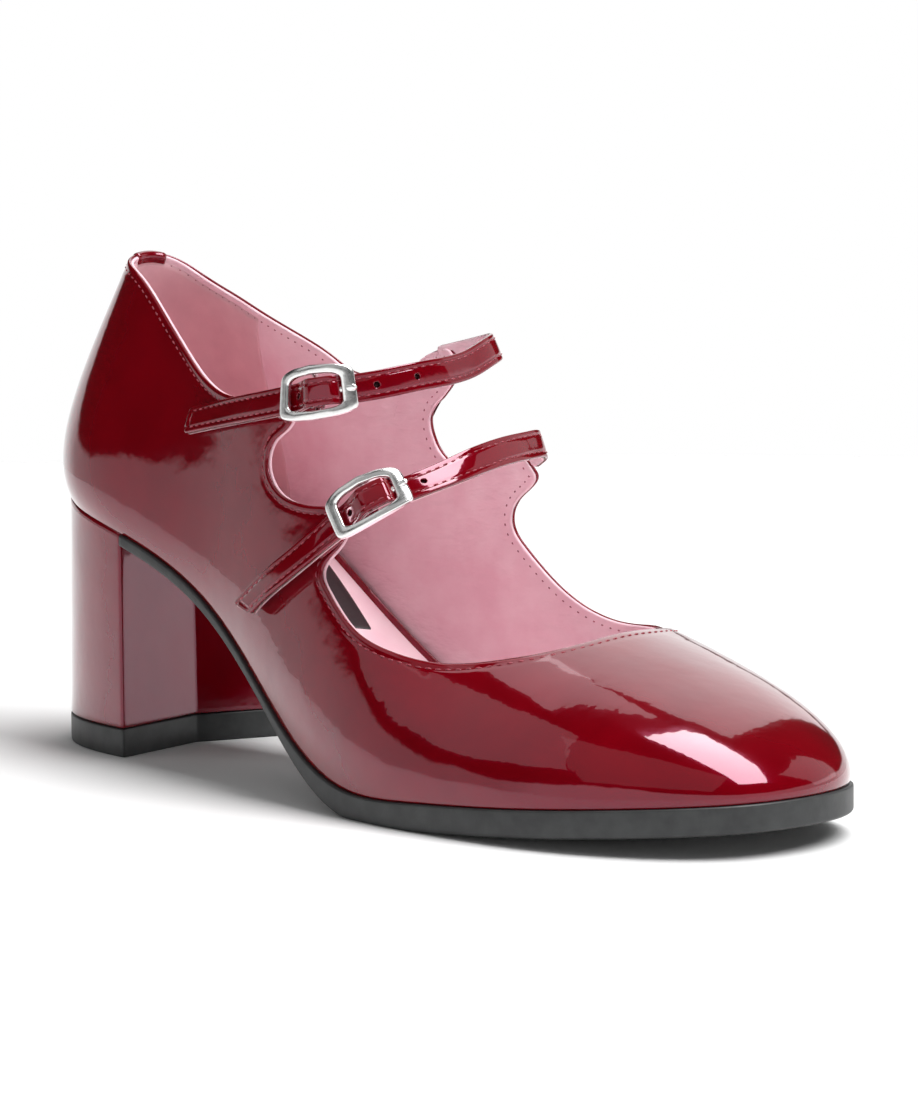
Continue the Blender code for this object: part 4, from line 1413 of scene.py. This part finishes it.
@dataclass
class Strap:
    """Instep strap in three layers with its seams, holes, buckle, pin and tab.

    Places along the strap are millimetres, those of the buckle's parts from its centre
    bar toward the root. The band climbs over the bar as a flat-topped bell and sinks
    into the upper at its medial root: each sink is a depth and the places where it
    starts and ends to fade.
    """

    side: Side
    table: tuple[tuple[float, ...], ...]
    buckle_at: float
    tab_long: float
    slant: float
    holes: tuple[float, ...]
    finish: Finishes
    form: FootForm
    width: float = 6.3
    thick: float = 1.4
    slant_from: float = 0.86
    tip_round: float = 0.9
    hump: float = 2.9
    hump_ahead: float = 3.4
    hump_flat: float = 4.0
    hump_behind: float = 1.9
    sinks: tuple[tuple[float, float, float], ...] = ((0.45, 6.0, 18.0), (1.5, 0.0, 7.0))
    crown: float = 0.10
    seam_inset: float = 1.2
    tip_seam: float = 1.5
    trough: float = 0.13
    trough_spread: float = 0.34
    hole: float = 0.72
    # Radius of the dark plugs of painted shade on the hole floors
    hole_shade_plug: float = 0.70
    bar: float = 1.6
    buckle_long: float = 17.5
    buckle_tall: float = 12.1
    side_band: float = 2.8
    long_band: float = 2.0
    outer_power: float = 0.24
    inner_power: float = 0.22
    waist: float = 0.2
    bow: float = 0.9
    centre_bar: float = 1.2
    pin: float = 1.2
    pin_wide: float = 1.45
    pin_hook: tuple[float, float] = (210.0, 20.0)
    pin_over: float = 0.1
    pin_rest: float = 0.05
    gap: float = 0.3
    tab_thick: float = 0.6
    tab_wide: float = 6.4
    tab_rise: tuple[float, float] = (-6.5, -1.0)
    tab_lap: float = 1.0
    total: float = field(init=False)
    side_out: float = field(init=False)
    centre_out: float = field(init=False)

    def __post_init__(self) -> None:
        """Measure the strap and place the bars above it."""
        self.total = self.frames(np.array([0.0, 1.0]))[4]
        self.side_out = self.thick / 2 + self.gap + self.bar / 2
        self.centre_out = (self.thick / 2 + self.hump - self.thick - 2 * self.gap
                           - self.tab_thick - self.centre_bar / 2)

    def frames(self, share: np.ndarray) -> tuple[np.ndarray, np.ndarray, np.ndarray,
                                                 np.ndarray, float]:
        """Centre line of the strap as laid, a natural spline, with its directions.

        Args:
            share: shares of the strap's length from the medial root.

        Returns:
            Centre, run, width and face direction of each share, and the whole length.
        """
        rows = np.array(self.table) * np.array((self.form.length, self.form.half_width,
                                                self.form.collar, 1, 1))
        leg = np.linalg.norm(np.diff(rows[:, :3], axis=0), axis=1)
        knots = np.concatenate([[0], np.cumsum(leg)]) / leg.sum()
        line = open_curve(knots, rows, share)
        small = 1e-3
        run = unit(open_curve(knots, rows[:, :3], share + small)
                   - open_curve(knots, rows[:, :3], share - small))
        tilt, lean = np.radians(line[:, 3]), np.radians(line[:, 4])
        inner = -np.sign(line[:, 1])
        wide = np.stack([-np.sin(tilt), inner * np.sin(lean), np.cos(tilt) * np.cos(lean)], 1)
        wide = unit(wide - run * np.sum(wide * run, 1, keepdims=True))
        face = np.cross(wide, run)
        foot_middle = np.array([0.36 * self.form.length, 0.0, 0.5 * self.form.collar])
        face *= np.sign(np.sum(face * (line[:, :3] - foot_middle), 1, keepdims=True))
        return line[:, :3], run, wide, face, leg.sum()

    def along(self, share: np.ndarray) -> tuple[np.ndarray, np.ndarray, np.ndarray, np.ndarray]:
        """Frames of the strap itself: lifted over the centre bar, sunk at its medial root.

        Args:
            share: rising shares of the strap's length.

        Returns:
            Centre, run, width and face direction of each share.
        """
        centre, _, wide, face, total = self.frames(share)
        gone = (share - self.buckle_at) * total
        away = np.where(gone > 0, gone / self.hump_ahead,
                        np.minimum(gone + self.hump_flat, 0) / self.hump_behind)
        lift = self.hump * np.exp(-away ** 2)
        for depth, first, last in self.sinks:
            lift = lift - depth * (1 - smooth_step(first, last, share * total))
        centre = centre + face * lift[:, None]
        return centre, unit(np.gradient(centre, axis=0)), wide, face

    def skew(self, share: np.ndarray) -> np.ndarray:
        """Run of one side ahead of the middle at the slanted tip, rising evenly to slant."""
        return self.slant * np.clip((share - self.slant_from) / (1 - self.slant_from), 0, 1)

    def layer(self, low: float, high: float, inset: float, soft: float,
              troughs: bool) -> np.ndarray:
        """Rings of one layer: a flat band with soft edges carried along the strap.

        Args:
            low: lower face, from the strap's middle.
            high: upper face.
            inset: how far its sides stand in.
            soft: radius of its upper corners.
            troughs: press the two seam lines and the tip seam into its upper face.

        Returns:
            Rings, points round a ring, coordinates.
        """
        share = np.linspace(0, 1, 330)
        centre, run, wide, face = self.along(share)
        turn = np.linspace(0, math.pi / 2, 5)
        half = self.width / 2 - inset
        flat = np.linspace(-1, 1, 29)[1:-1]
        corner = np.stack([half - soft + soft * np.cos(turn), high - soft + soft * np.sin(turn)], 1)
        mirror = corner[::-1] * np.array([-1, 1])
        middle = np.stack([-flat * (half - soft), np.full(len(flat), high)], 1)
        under = np.stack([np.linspace(-half, half, 9)[1:-1], np.full(7, low)], 1)
        shape = np.vstack([[(half, low)], corner, middle, mirror, [(-half, low)], under])
        across, out = shape[:, 0], shape[:, 1]
        left = (1 - share) * self.total
        nose = np.clip(self.tip_round - np.minimum(left, share * self.total), 0, self.tip_round)
        narrow = self.tip_round - np.sqrt(np.maximum(self.tip_round ** 2 - nose ** 2, 0))
        across = across[None, :] * (1 - narrow / half)[:, None]
        deep = np.zeros((len(share), len(out)))
        if troughs:
            seam = half - self.seam_inset
            upper = out > high - soft * 0.5
            trough = np.exp(-((np.abs(across) - seam) / self.trough_spread) ** 2)
            tip_trough = (np.exp(-((left - self.tip_seam) / self.trough_spread) ** 2)[:, None]
                          * (np.abs(across) < seam))
            crown = self.crown * np.cos(np.clip(across / half, -1, 1) * math.pi / 2)
            deep = np.where(upper, crown - self.trough * np.maximum(trough, tip_trough), 0.0)
        ring = (centre[:, None] + wide[:, None] * across[..., None]
                + face[:, None] * (out[None, :] + deep)[..., None])
        return ring + run[:, None] * (self.skew(share)[:, None] * across / half)[..., None]

    def placed(self, points: np.ndarray, out: float) -> np.ndarray:
        """Buckle axes (toward the root, width, face) bent along the strap.

        Args:
            points: places in buckle axes, from the centre bar.
            out: lift off the strap's middle for all of them.

        Returns:
            Points in the shape of the argument.
        """
        flat = points.reshape(-1, 3)
        centre, _, wide, face, _ = self.frames(self.buckle_at - flat[:, 0] / self.total)
        place = centre + wide * flat[:, 1:2] + face * (flat[:, 2:3] + out)
        return place.reshape(points.shape)

    def hole_rings(self, radius: float, low: float,
                   high: float) -> tuple[np.ndarray, list[np.ndarray]]:
        """Round plugs standing at every hole.

        Args:
            radius: size of a plug.
            low: height of its foot over the strap's middle.
            high: height of its top.

        Returns:
            Points and faces of all plugs.
        """
        turn = np.arange(20)[:, None] / 20 * 2 * math.pi
        points, faces, size = [], [[], []], 0
        for place in self.holes:
            share = self.buckle_at - place / self.total
            centre, run, wide, face = (rows[1] for rows in self.along(share + np.array(
                [-0.001, 0.0, 0.001])))
            round_ = radius * (run * np.cos(turn) + wide * np.sin(turn))
            spots, (quads, one, two) = loft(np.stack([centre + face * rise + round_
                                                      for rise in (low, high)]))
            points.append(spots)
            faces[0].append(quads + size)
            faces[1] += [one + size, two + size]
            size += len(spots)
        return np.vstack(points), [np.vstack(faces[0]), np.vstack(faces[1])]

    def punch(self, piece: bpy.types.Object) -> None:
        """Cut the round holes through the face layer and floor them with dark plugs, painted shade
        standing for the shadow down each hole.

        Args:
            piece: face layer of the strap.
        """
        points, faces = self.hole_rings(self.hole, -0.2, 1.6)
        cutter = make_piece("punch", points, faces, self.finish.rubber)
        step = piece.modifiers.new("holes", "BOOLEAN")
        step.operation, step.solver, step.object = "DIFFERENCE", "EXACT", cutter
        graph = bpy.context.evaluated_depsgraph_get()
        mesh = bpy.data.meshes.new_from_object(piece.evaluated_get(graph))
        piece.modifiers.clear()
        piece.data = mesh
        bpy.data.objects.remove(cutter)
        # Dark plugs on the hole floors: painted shade where the holes fall into shadow
        points, faces = self.hole_rings(self.hole_shade_plug, -0.3, 0.08)
        make_piece(f"strap_{self.side.value}_holes", points, faces, self.finish.hole)

    def build_band(self) -> None:
        """Patent face, raw core and pink backing of the strap, with its pin holes."""
        name = self.side.value
        pieces = []
        # Name, lower and upper face, inset, corner radius, troughs, finish, slot
        for label, low, high, inset, soft, troughs, finish, slot in (
                ("strap", 0.0, 0.7, 0.0, 0.3, True, self.finish.patent, Slot.PATENT),
                ("strap_core", -0.35, 0.02, 0.04, 0.05, False, self.finish.cut_edge, Slot.LINING),
                ("strap_back", -0.7, -0.33, 0.06, 0.05, False, self.finish.lining, Slot.LINING)):
            points, faces = loft(self.layer(low, high, inset, soft, troughs))
            pieces.append(make_piece(f"{label}_{name}_band", points, faces, finish))
        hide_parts(f"strap_{name}")
        self.punch(pieces[0])

    def build_seams(self) -> None:
        """Seam along both edges and across the tip, as one run of stitches."""
        share = np.linspace(0.045, 1, 700)
        centre, run, wide, face = self.along(share)
        seam = self.width / 2 - self.seam_inset
        ahead = run * (self.skew(share) * seam / (self.width / 2))[:, None]
        keep = share * self.total < self.total - self.tip_seam
        high = self.thick / 2 - 0.06
        one = (centre + wide * seam + face * high + ahead)[keep]
        two = (centre - wide * seam + face * high - ahead)[keep]
        tip = np.linspace(0, 1, 20)[1:-1, None]
        lines = [(one, face[keep]), (two, face[keep]),
                 (one[-1] * (1 - tip) + two[-1] * tip, np.repeat(face[-1:], len(tip), 0))]
        points, faces, size = [], [], 0
        for path, normal in lines:
            spots, quads = Thread(pitch=2.2, length=1.55, radius=0.17).lay(path, normal, False)
            points.append(spots)
            faces.append(quads + size)
            size += len(spots)
        make_piece(f"strap_{self.side.value}_seam", np.vstack(points), [np.vstack(faces)],
                   self.finish.thread)

    def build_buckle(self) -> None:
        """Bowed frame with broad end bands, and its centre bar.

        The outer and inner lines are superellipses, waisted toward the ends, and a
        section is a soft rectangle between them, carried round as a closed ring.
        """
        turn = np.linspace(0, 2 * math.pi, 145)[:-1]
        lines = []
        for long, tall, power in (
                (self.buckle_long / 2, self.buckle_tall / 2, self.outer_power),
                (self.buckle_long / 2 - self.side_band, self.buckle_tall / 2 - self.long_band,
                 self.inner_power)):
            wide, high = squared_circle(turn, power)
            lines.append(np.stack([wide * long, high * tall * (1 - self.waist * wide ** 2)], 1))
        outer, inner = lines
        flat, high = squared_circle(np.arange(20) / 20 * 2 * math.pi, 0.62)
        middle, half = (outer + inner) / 2, (outer - inner) / 2
        plan = middle[:, None] + half[:, None] * flat[None, :, None]
        rise = self.bow * (1 - (plan[..., 0] / (self.buckle_long / 2)) ** 2)
        ring = np.concatenate([plan, (rise + high[None, :] * self.bar / 2)[..., None]], -1)
        points, faces = loft(self.placed(ring, self.side_out), True)
        name = self.side.value
        piece = make_piece(f"buckle_{name}_frame", points, faces, self.finish.metal)
        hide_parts(f"buckle_{name}")
        reach = self.buckle_tall / 2 - self.long_band / 2
        side = np.linspace(-1, 1, 25)
        drop = self.centre_out - self.side_out - self.bow
        path = np.stack([np.zeros(25), side * reach, self.bow + drop * (1 - np.abs(side) ** 6)], 1)
        ahead = unit(np.gradient(path, axis=0))
        one = np.array([1.0, 0.0, 0.0])
        other = np.cross(ahead, one)
        phase = np.arange(14) / 14 * 2 * math.pi
        round_ = one * np.cos(phase)[None, :, None] + other[:, None] * np.sin(phase)[None, :, None]
        rod = path[:, None] + self.centre_bar / 2 * round_
        points, faces = loft(self.placed(rod, self.side_out))
        make_piece(f"buckle_{name}_bar", points, faces, self.finish.metal)

    def ribbon(self, path: np.ndarray, thick: np.ndarray, wide: np.ndarray,
               power: float) -> np.ndarray:
        """Soft-edged band along a path in the run and face plane.

        Args:
            path: run and face coordinates.
            thick: thickness at each point.
            wide: width at each point.
            power: 1 for a round section, less for a flatter one.

        Returns:
            Rings in buckle axes.
        """
        ahead = unit(np.gradient(path, axis=0))
        side = np.stack([-ahead[:, 1], ahead[:, 0]], 1)
        flat, high = squared_circle(np.arange(20) / 20 * 2 * math.pi, power)
        plane = path[:, None] + side[:, None] * (thick[:, None] / 2 * high)[..., None]
        across = wide[:, None] / 2 * flat
        return np.stack([plane[..., 0], across, plane[..., 1]], -1)

    def build_pin(self) -> None:
        """Pin hooked round the centre bar, its rounded tip resting on the end band."""
        grip = self.centre_bar / 2 + self.gap + self.pin / 2
        turn = np.radians(np.linspace(*self.pin_hook, 15))
        hook = np.stack([grip * np.cos(turn), self.centre_out + grip * np.sin(turn)], 1)
        tip = np.array([self.buckle_long / 2 + self.pin_over,
                        self.side_out + self.bar / 2 + self.pin / 2 + self.pin_rest])
        share = np.linspace(0, 1, 26)[1:, None]
        body = hook[-1] + (tip - hook[-1]) * np.hstack([share, share ** 1.8])
        path = np.vstack([hook, body])
        gone = np.linspace(0, 1, len(path))
        # Quarter circles over the last 6 % and the first 4 % of its length
        size = np.ones(len(path))
        for ending in ((gone - 0.94) / 0.06, (0.04 - gone) / 0.04):
            size *= np.sqrt(1 - np.clip(ending, 0, 0.98) ** 2)
        ring = self.ribbon(path, self.pin * size, self.pin_wide * size, 0.8)
        points, faces = loft(self.placed(ring, 0.0))
        name = self.side.value
        piece = make_piece(f"pin_{name}", points, faces, self.finish.metal)
        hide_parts(f"prong_{name}")

    def build_tab(self) -> None:
        """Folded tab from the ear round the centre bar."""
        grip = self.centre_bar / 2 + self.gap + self.tab_thick / 2
        turn = np.radians(np.linspace(-90, 90, 13))
        out = self.centre_out
        fold = np.stack([grip * np.cos(turn), out + grip * np.sin(turn)], 1)
        low = -self.thick / 2 - self.gap - self.tab_thick / 2
        run = np.linspace(-self.tab_long, -3.0, 16)
        lower = np.stack([run, low + (out - grip - low) * smooth_step(*self.tab_rise, run)], 1)
        path = np.vstack([lower, fold, [(-self.tab_lap, out + grip - 0.25)]])
        even = np.ones(len(path))
        ring = self.ribbon(path, self.tab_thick * even, self.tab_wide * even, 0.35)
        points, faces = loft(self.placed(ring, 0.0))
        name = self.side.value
        piece = make_piece(f"buckle_tab_{name}", points, faces, self.finish.patent)
        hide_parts(f"tab_{name}")

    def build(self) -> None:
        """Build the band, its seams and the buckle."""
        self.build_band()
        self.build_seams()
        self.build_buckle()
        self.build_pin()
        self.build_tab()


# Pale screen round the set: azimuth in degrees as the camera's, sine of its top edge and
# brightness
SCREEN = (
    (-180, 0.13, 1.0), (-150, 0.13, 1.0), (-120, 0.14, 1.0), (-105, 0.17, 1.0),
    (-90, 0.22, 0.9), (-78, 0.13, 0.6), (-60, 0.13, 0.6), (-45, 0.24, 0.6),
    (-28, 0.17, 0.6), (-15, 0.25, 1.0), (0, 0.38, 1.0), (18, 0.37, 1.0),
    (32, 0.30, 1.0), (60, 0.25, 1.0), (110, 0.2, 1.0), (140, 0.2, 0.75),
    (170, 0.2, 0.75), (180, 0.13, 1.0),
)


def aim(item: bpy.types.Object, target: np.ndarray, distance: float, azimuth: float,
        elevation: float, spin: float) -> None:
    """Stand a camera or lamp at a distance from a target, looking back at it.

    Args:
        item: the camera or lamp.
        target: point it looks at, in metres.
        distance: metres from the target.
        azimuth: direction in degrees from the lateral side toward the toe.
        elevation: degrees above the floor.
        spin: turn about its own axis in degrees.
    """
    turn, rise, spin = (math.radians(angle) for angle in (azimuth, elevation, spin))
    back = np.array([math.sin(turn) * math.cos(rise), -math.cos(turn) * math.cos(rise),
                     math.sin(rise)])
    right = np.array([math.cos(turn), math.sin(turn), 0.0])
    up = np.cross(back, right)
    matrix = np.eye(4)
    matrix[:3, 0] = right * math.cos(spin) + up * math.sin(spin)
    matrix[:3, 1] = up * math.cos(spin) - right * math.sin(spin)
    matrix[:3, 2] = back
    matrix[:3, 3] = target + back * distance
    bpy.context.scene.collection.objects.link(item)
    item.matrix_world = matrix.T.tolist()


@dataclass
class Studio:
    """Pale floor, soft light and the photograph's camera.

    The camera's angles, distance and focal length were fitted to the photograph, whose
    longer side is frame_high_px. Lengths are millimetres, those of floor, lamps and
    screen metres.
    """

    azimuth: float = 51.275
    elevation: float = 6.488
    roll: float = -0.517
    distance: float = 948.876
    focal_px: float = 4288.486
    target: tuple[float, float, float] = (110.0, 0.0, 51.3)
    shift_px: float = -63.892
    frame_high_px: float = 1104.0
    floor_radius: float = 0.8
    floor_sides: int = 96
    floor_tint: str = "#ececec"
    lamp_target: tuple[float, float, float] = (0.0, 0.0, 0.05)
    screen_fade: tuple[float, float] = (-0.02, 0.01)
    room_dim: float = 0.02

    def build_camera(self) -> None:
        """Camera placed by its fitted angles, distance and focal length."""
        lens = bpy.data.cameras.new("camera")
        lens.sensor_width = 36.0
        lens.sensor_fit = "AUTO"
        lens.lens = self.focal_px * lens.sensor_width / self.frame_high_px
        lens.shift_x = -self.shift_px / self.frame_high_px
        lens.clip_start, lens.clip_end = 0.01, 50.0
        item = bpy.data.objects.new("camera", lens)
        aim(item, (np.array(self.target) - ORIGIN) * MM, self.distance * MM, self.azimuth,
            self.elevation, self.roll)
        bpy.context.scene.camera = item

    def build_floor(self) -> None:
        """White paper floor: a flat round sheet, ending where the white room takes over."""
        turn = np.arange(self.floor_sides) / self.floor_sides * 2 * math.pi
        edge = self.floor_radius * np.stack([np.cos(turn), np.sin(turn), 0 * turn], 1)
        mesh = bpy.data.meshes.new("floor")
        mesh.from_pydata(edge.tolist(), [], [tuple(range(self.floor_sides))])
        item = bpy.data.objects.new("floor", mesh)
        bpy.context.scene.collection.objects.link(item)
        # Seamless background paper, matt white
        paper, _, shader, _ = start_material("white background paper")
        shader.inputs["Base Color"].default_value = linear(self.floor_tint)
        shader.inputs["Roughness"].default_value = 0.9
        shader.inputs["Specular IOR Level"].default_value = 0.0
        mesh.materials.append(paper)

    def build_lamp(self, name: str, azimuth: float, elevation: float, distance: float,
                   size: tuple[float, float], power: float, spin: float) -> None:
        """Soft box that looks at the shoe from a direction.

        Args:
            name: plain name of the lamp.
            azimuth: direction in degrees, counted as the camera's is.
            elevation: degrees above the floor.
            distance: metres from the shoe's middle.
            size: width and height in metres.
            power: watts.
            spin: turn about its own axis in degrees.
        """
        lamp = bpy.data.lights.new(name, "AREA")
        lamp.shape = "RECTANGLE"
        lamp.size, lamp.size_y = size
        lamp.energy = power
        item = bpy.data.objects.new(name, lamp)
        aim(item, np.array(self.lamp_target), distance, azimuth, elevation, spin)

    def build_room(self) -> None:
        """Room round the set: a pale screen whose top edge changes round the room, dim above.

        The azimuth is the arctangent of the direction's x over its negative y, and a
        direction is lit where its height, a sine, is under the screen's edge there.
        """
        world = bpy.data.worlds.new("studio")
        bpy.context.scene.world = world
        world.use_nodes = True
        tree = world.node_tree
        way = add_node(tree, "ShaderNodeTexCoord").outputs["Generated"]
        split = add_node(tree, "ShaderNodeSeparateXYZ", links={0: way})
        back = add_node(tree, "ShaderNodeMath", {1: -1.0}, {0: split.outputs[1]},
                        operation="MULTIPLY")
        turn = add_node(tree, "ShaderNodeMath", links={0: split.outputs[0], 1: back.outputs[0]},
                        operation="ARCTAN2")
        share = add_node(tree, "ShaderNodeMapRange", {"From Min": -math.pi, "From Max": math.pi},
                         {"Value": turn.outputs[0]}).outputs[0]
        edge, bright = (add_node(tree, "ShaderNodeValToRGB", links={0: share}, stops=tuple(
            ((row[0] + 180) / 360, (row[column],) * 3 + (1.0,)) for row in SCREEN)).outputs[0]
                        for column in (1, 2))
        over = add_node(tree, "ShaderNodeMath", links={0: split.outputs[2], 1: edge},
                        operation="SUBTRACT")
        first, last = self.screen_fade
        lit = add_node(tree, "ShaderNodeMapRange", {"From Min": first, "From Max": last,
                                                    "To Min": 1.0, "To Max": self.room_dim},
                       {"Value": over.outputs[0]})
        glow = add_node(tree, "ShaderNodeMath", links={0: lit.outputs[0], 1: bright},
                        operation="MULTIPLY")
        tree.links.new(glow.outputs[0], tree.nodes["Background"].inputs[0])
        tree.nodes["Background"].inputs[1].default_value = 1.0

    def build(self) -> None:
        """Build camera, floor, room and lamps."""
        scene = bpy.context.scene
        scene.view_settings.view_transform = "Standard"
        scene.view_settings.look = "None"
        self.build_camera()
        self.build_floor()
        self.build_room()
        # Azimuth and elevation in degrees, metres away, width and height, watts, spin
        self.build_lamp("key soft box", 126, 67, 2.4, (2.6, 1.1), 88, 54)
        self.build_lamp("front fill", 28, 50, 2.4, (2.6, 2.0), 5, 0)
        self.build_lamp("side card", -37, 41, 2.2, (1.3, 1.4), 3.3, 40)
        self.build_lamp("rear glow", -140, 34, 2.4, (1.2, 2.2), 10, 0)
        self.build_lamp("rear strip", -100, 63, 2.4, (1.3, 0.7), 3.4, 0)
        self.build_lamp("rear card", 158, 24, 2.4, (1.2, 1.8), 4.4, 0)


def main() -> None:
    """Build camera, studio and every piece of the shoe in order."""
    logging.basicConfig(level=logging.INFO, format="%(message)s")
    Studio().build()
    form = FootForm()
    finish = Finishes()
    Upper(form, finish).build()
    FootBed(form, finish).build()
    Sole(form, finish).build()
    Heel(form, finish).build()
    Strap(Side.REAR, STRAP_REAR, buckle_at=0.5853, tab_long=13.0, slant=0.0,
          holes=(-4.3, 13.0, 22.5), finish=finish, form=form).build()
    Strap(Side.FRONT, STRAP_FRONT, buckle_at=0.5778, tab_long=16.0, slant=2.7,
          holes=(-4.3, 12.5), finish=finish, form=form).build()


if __name__ == "__main__":
    main()
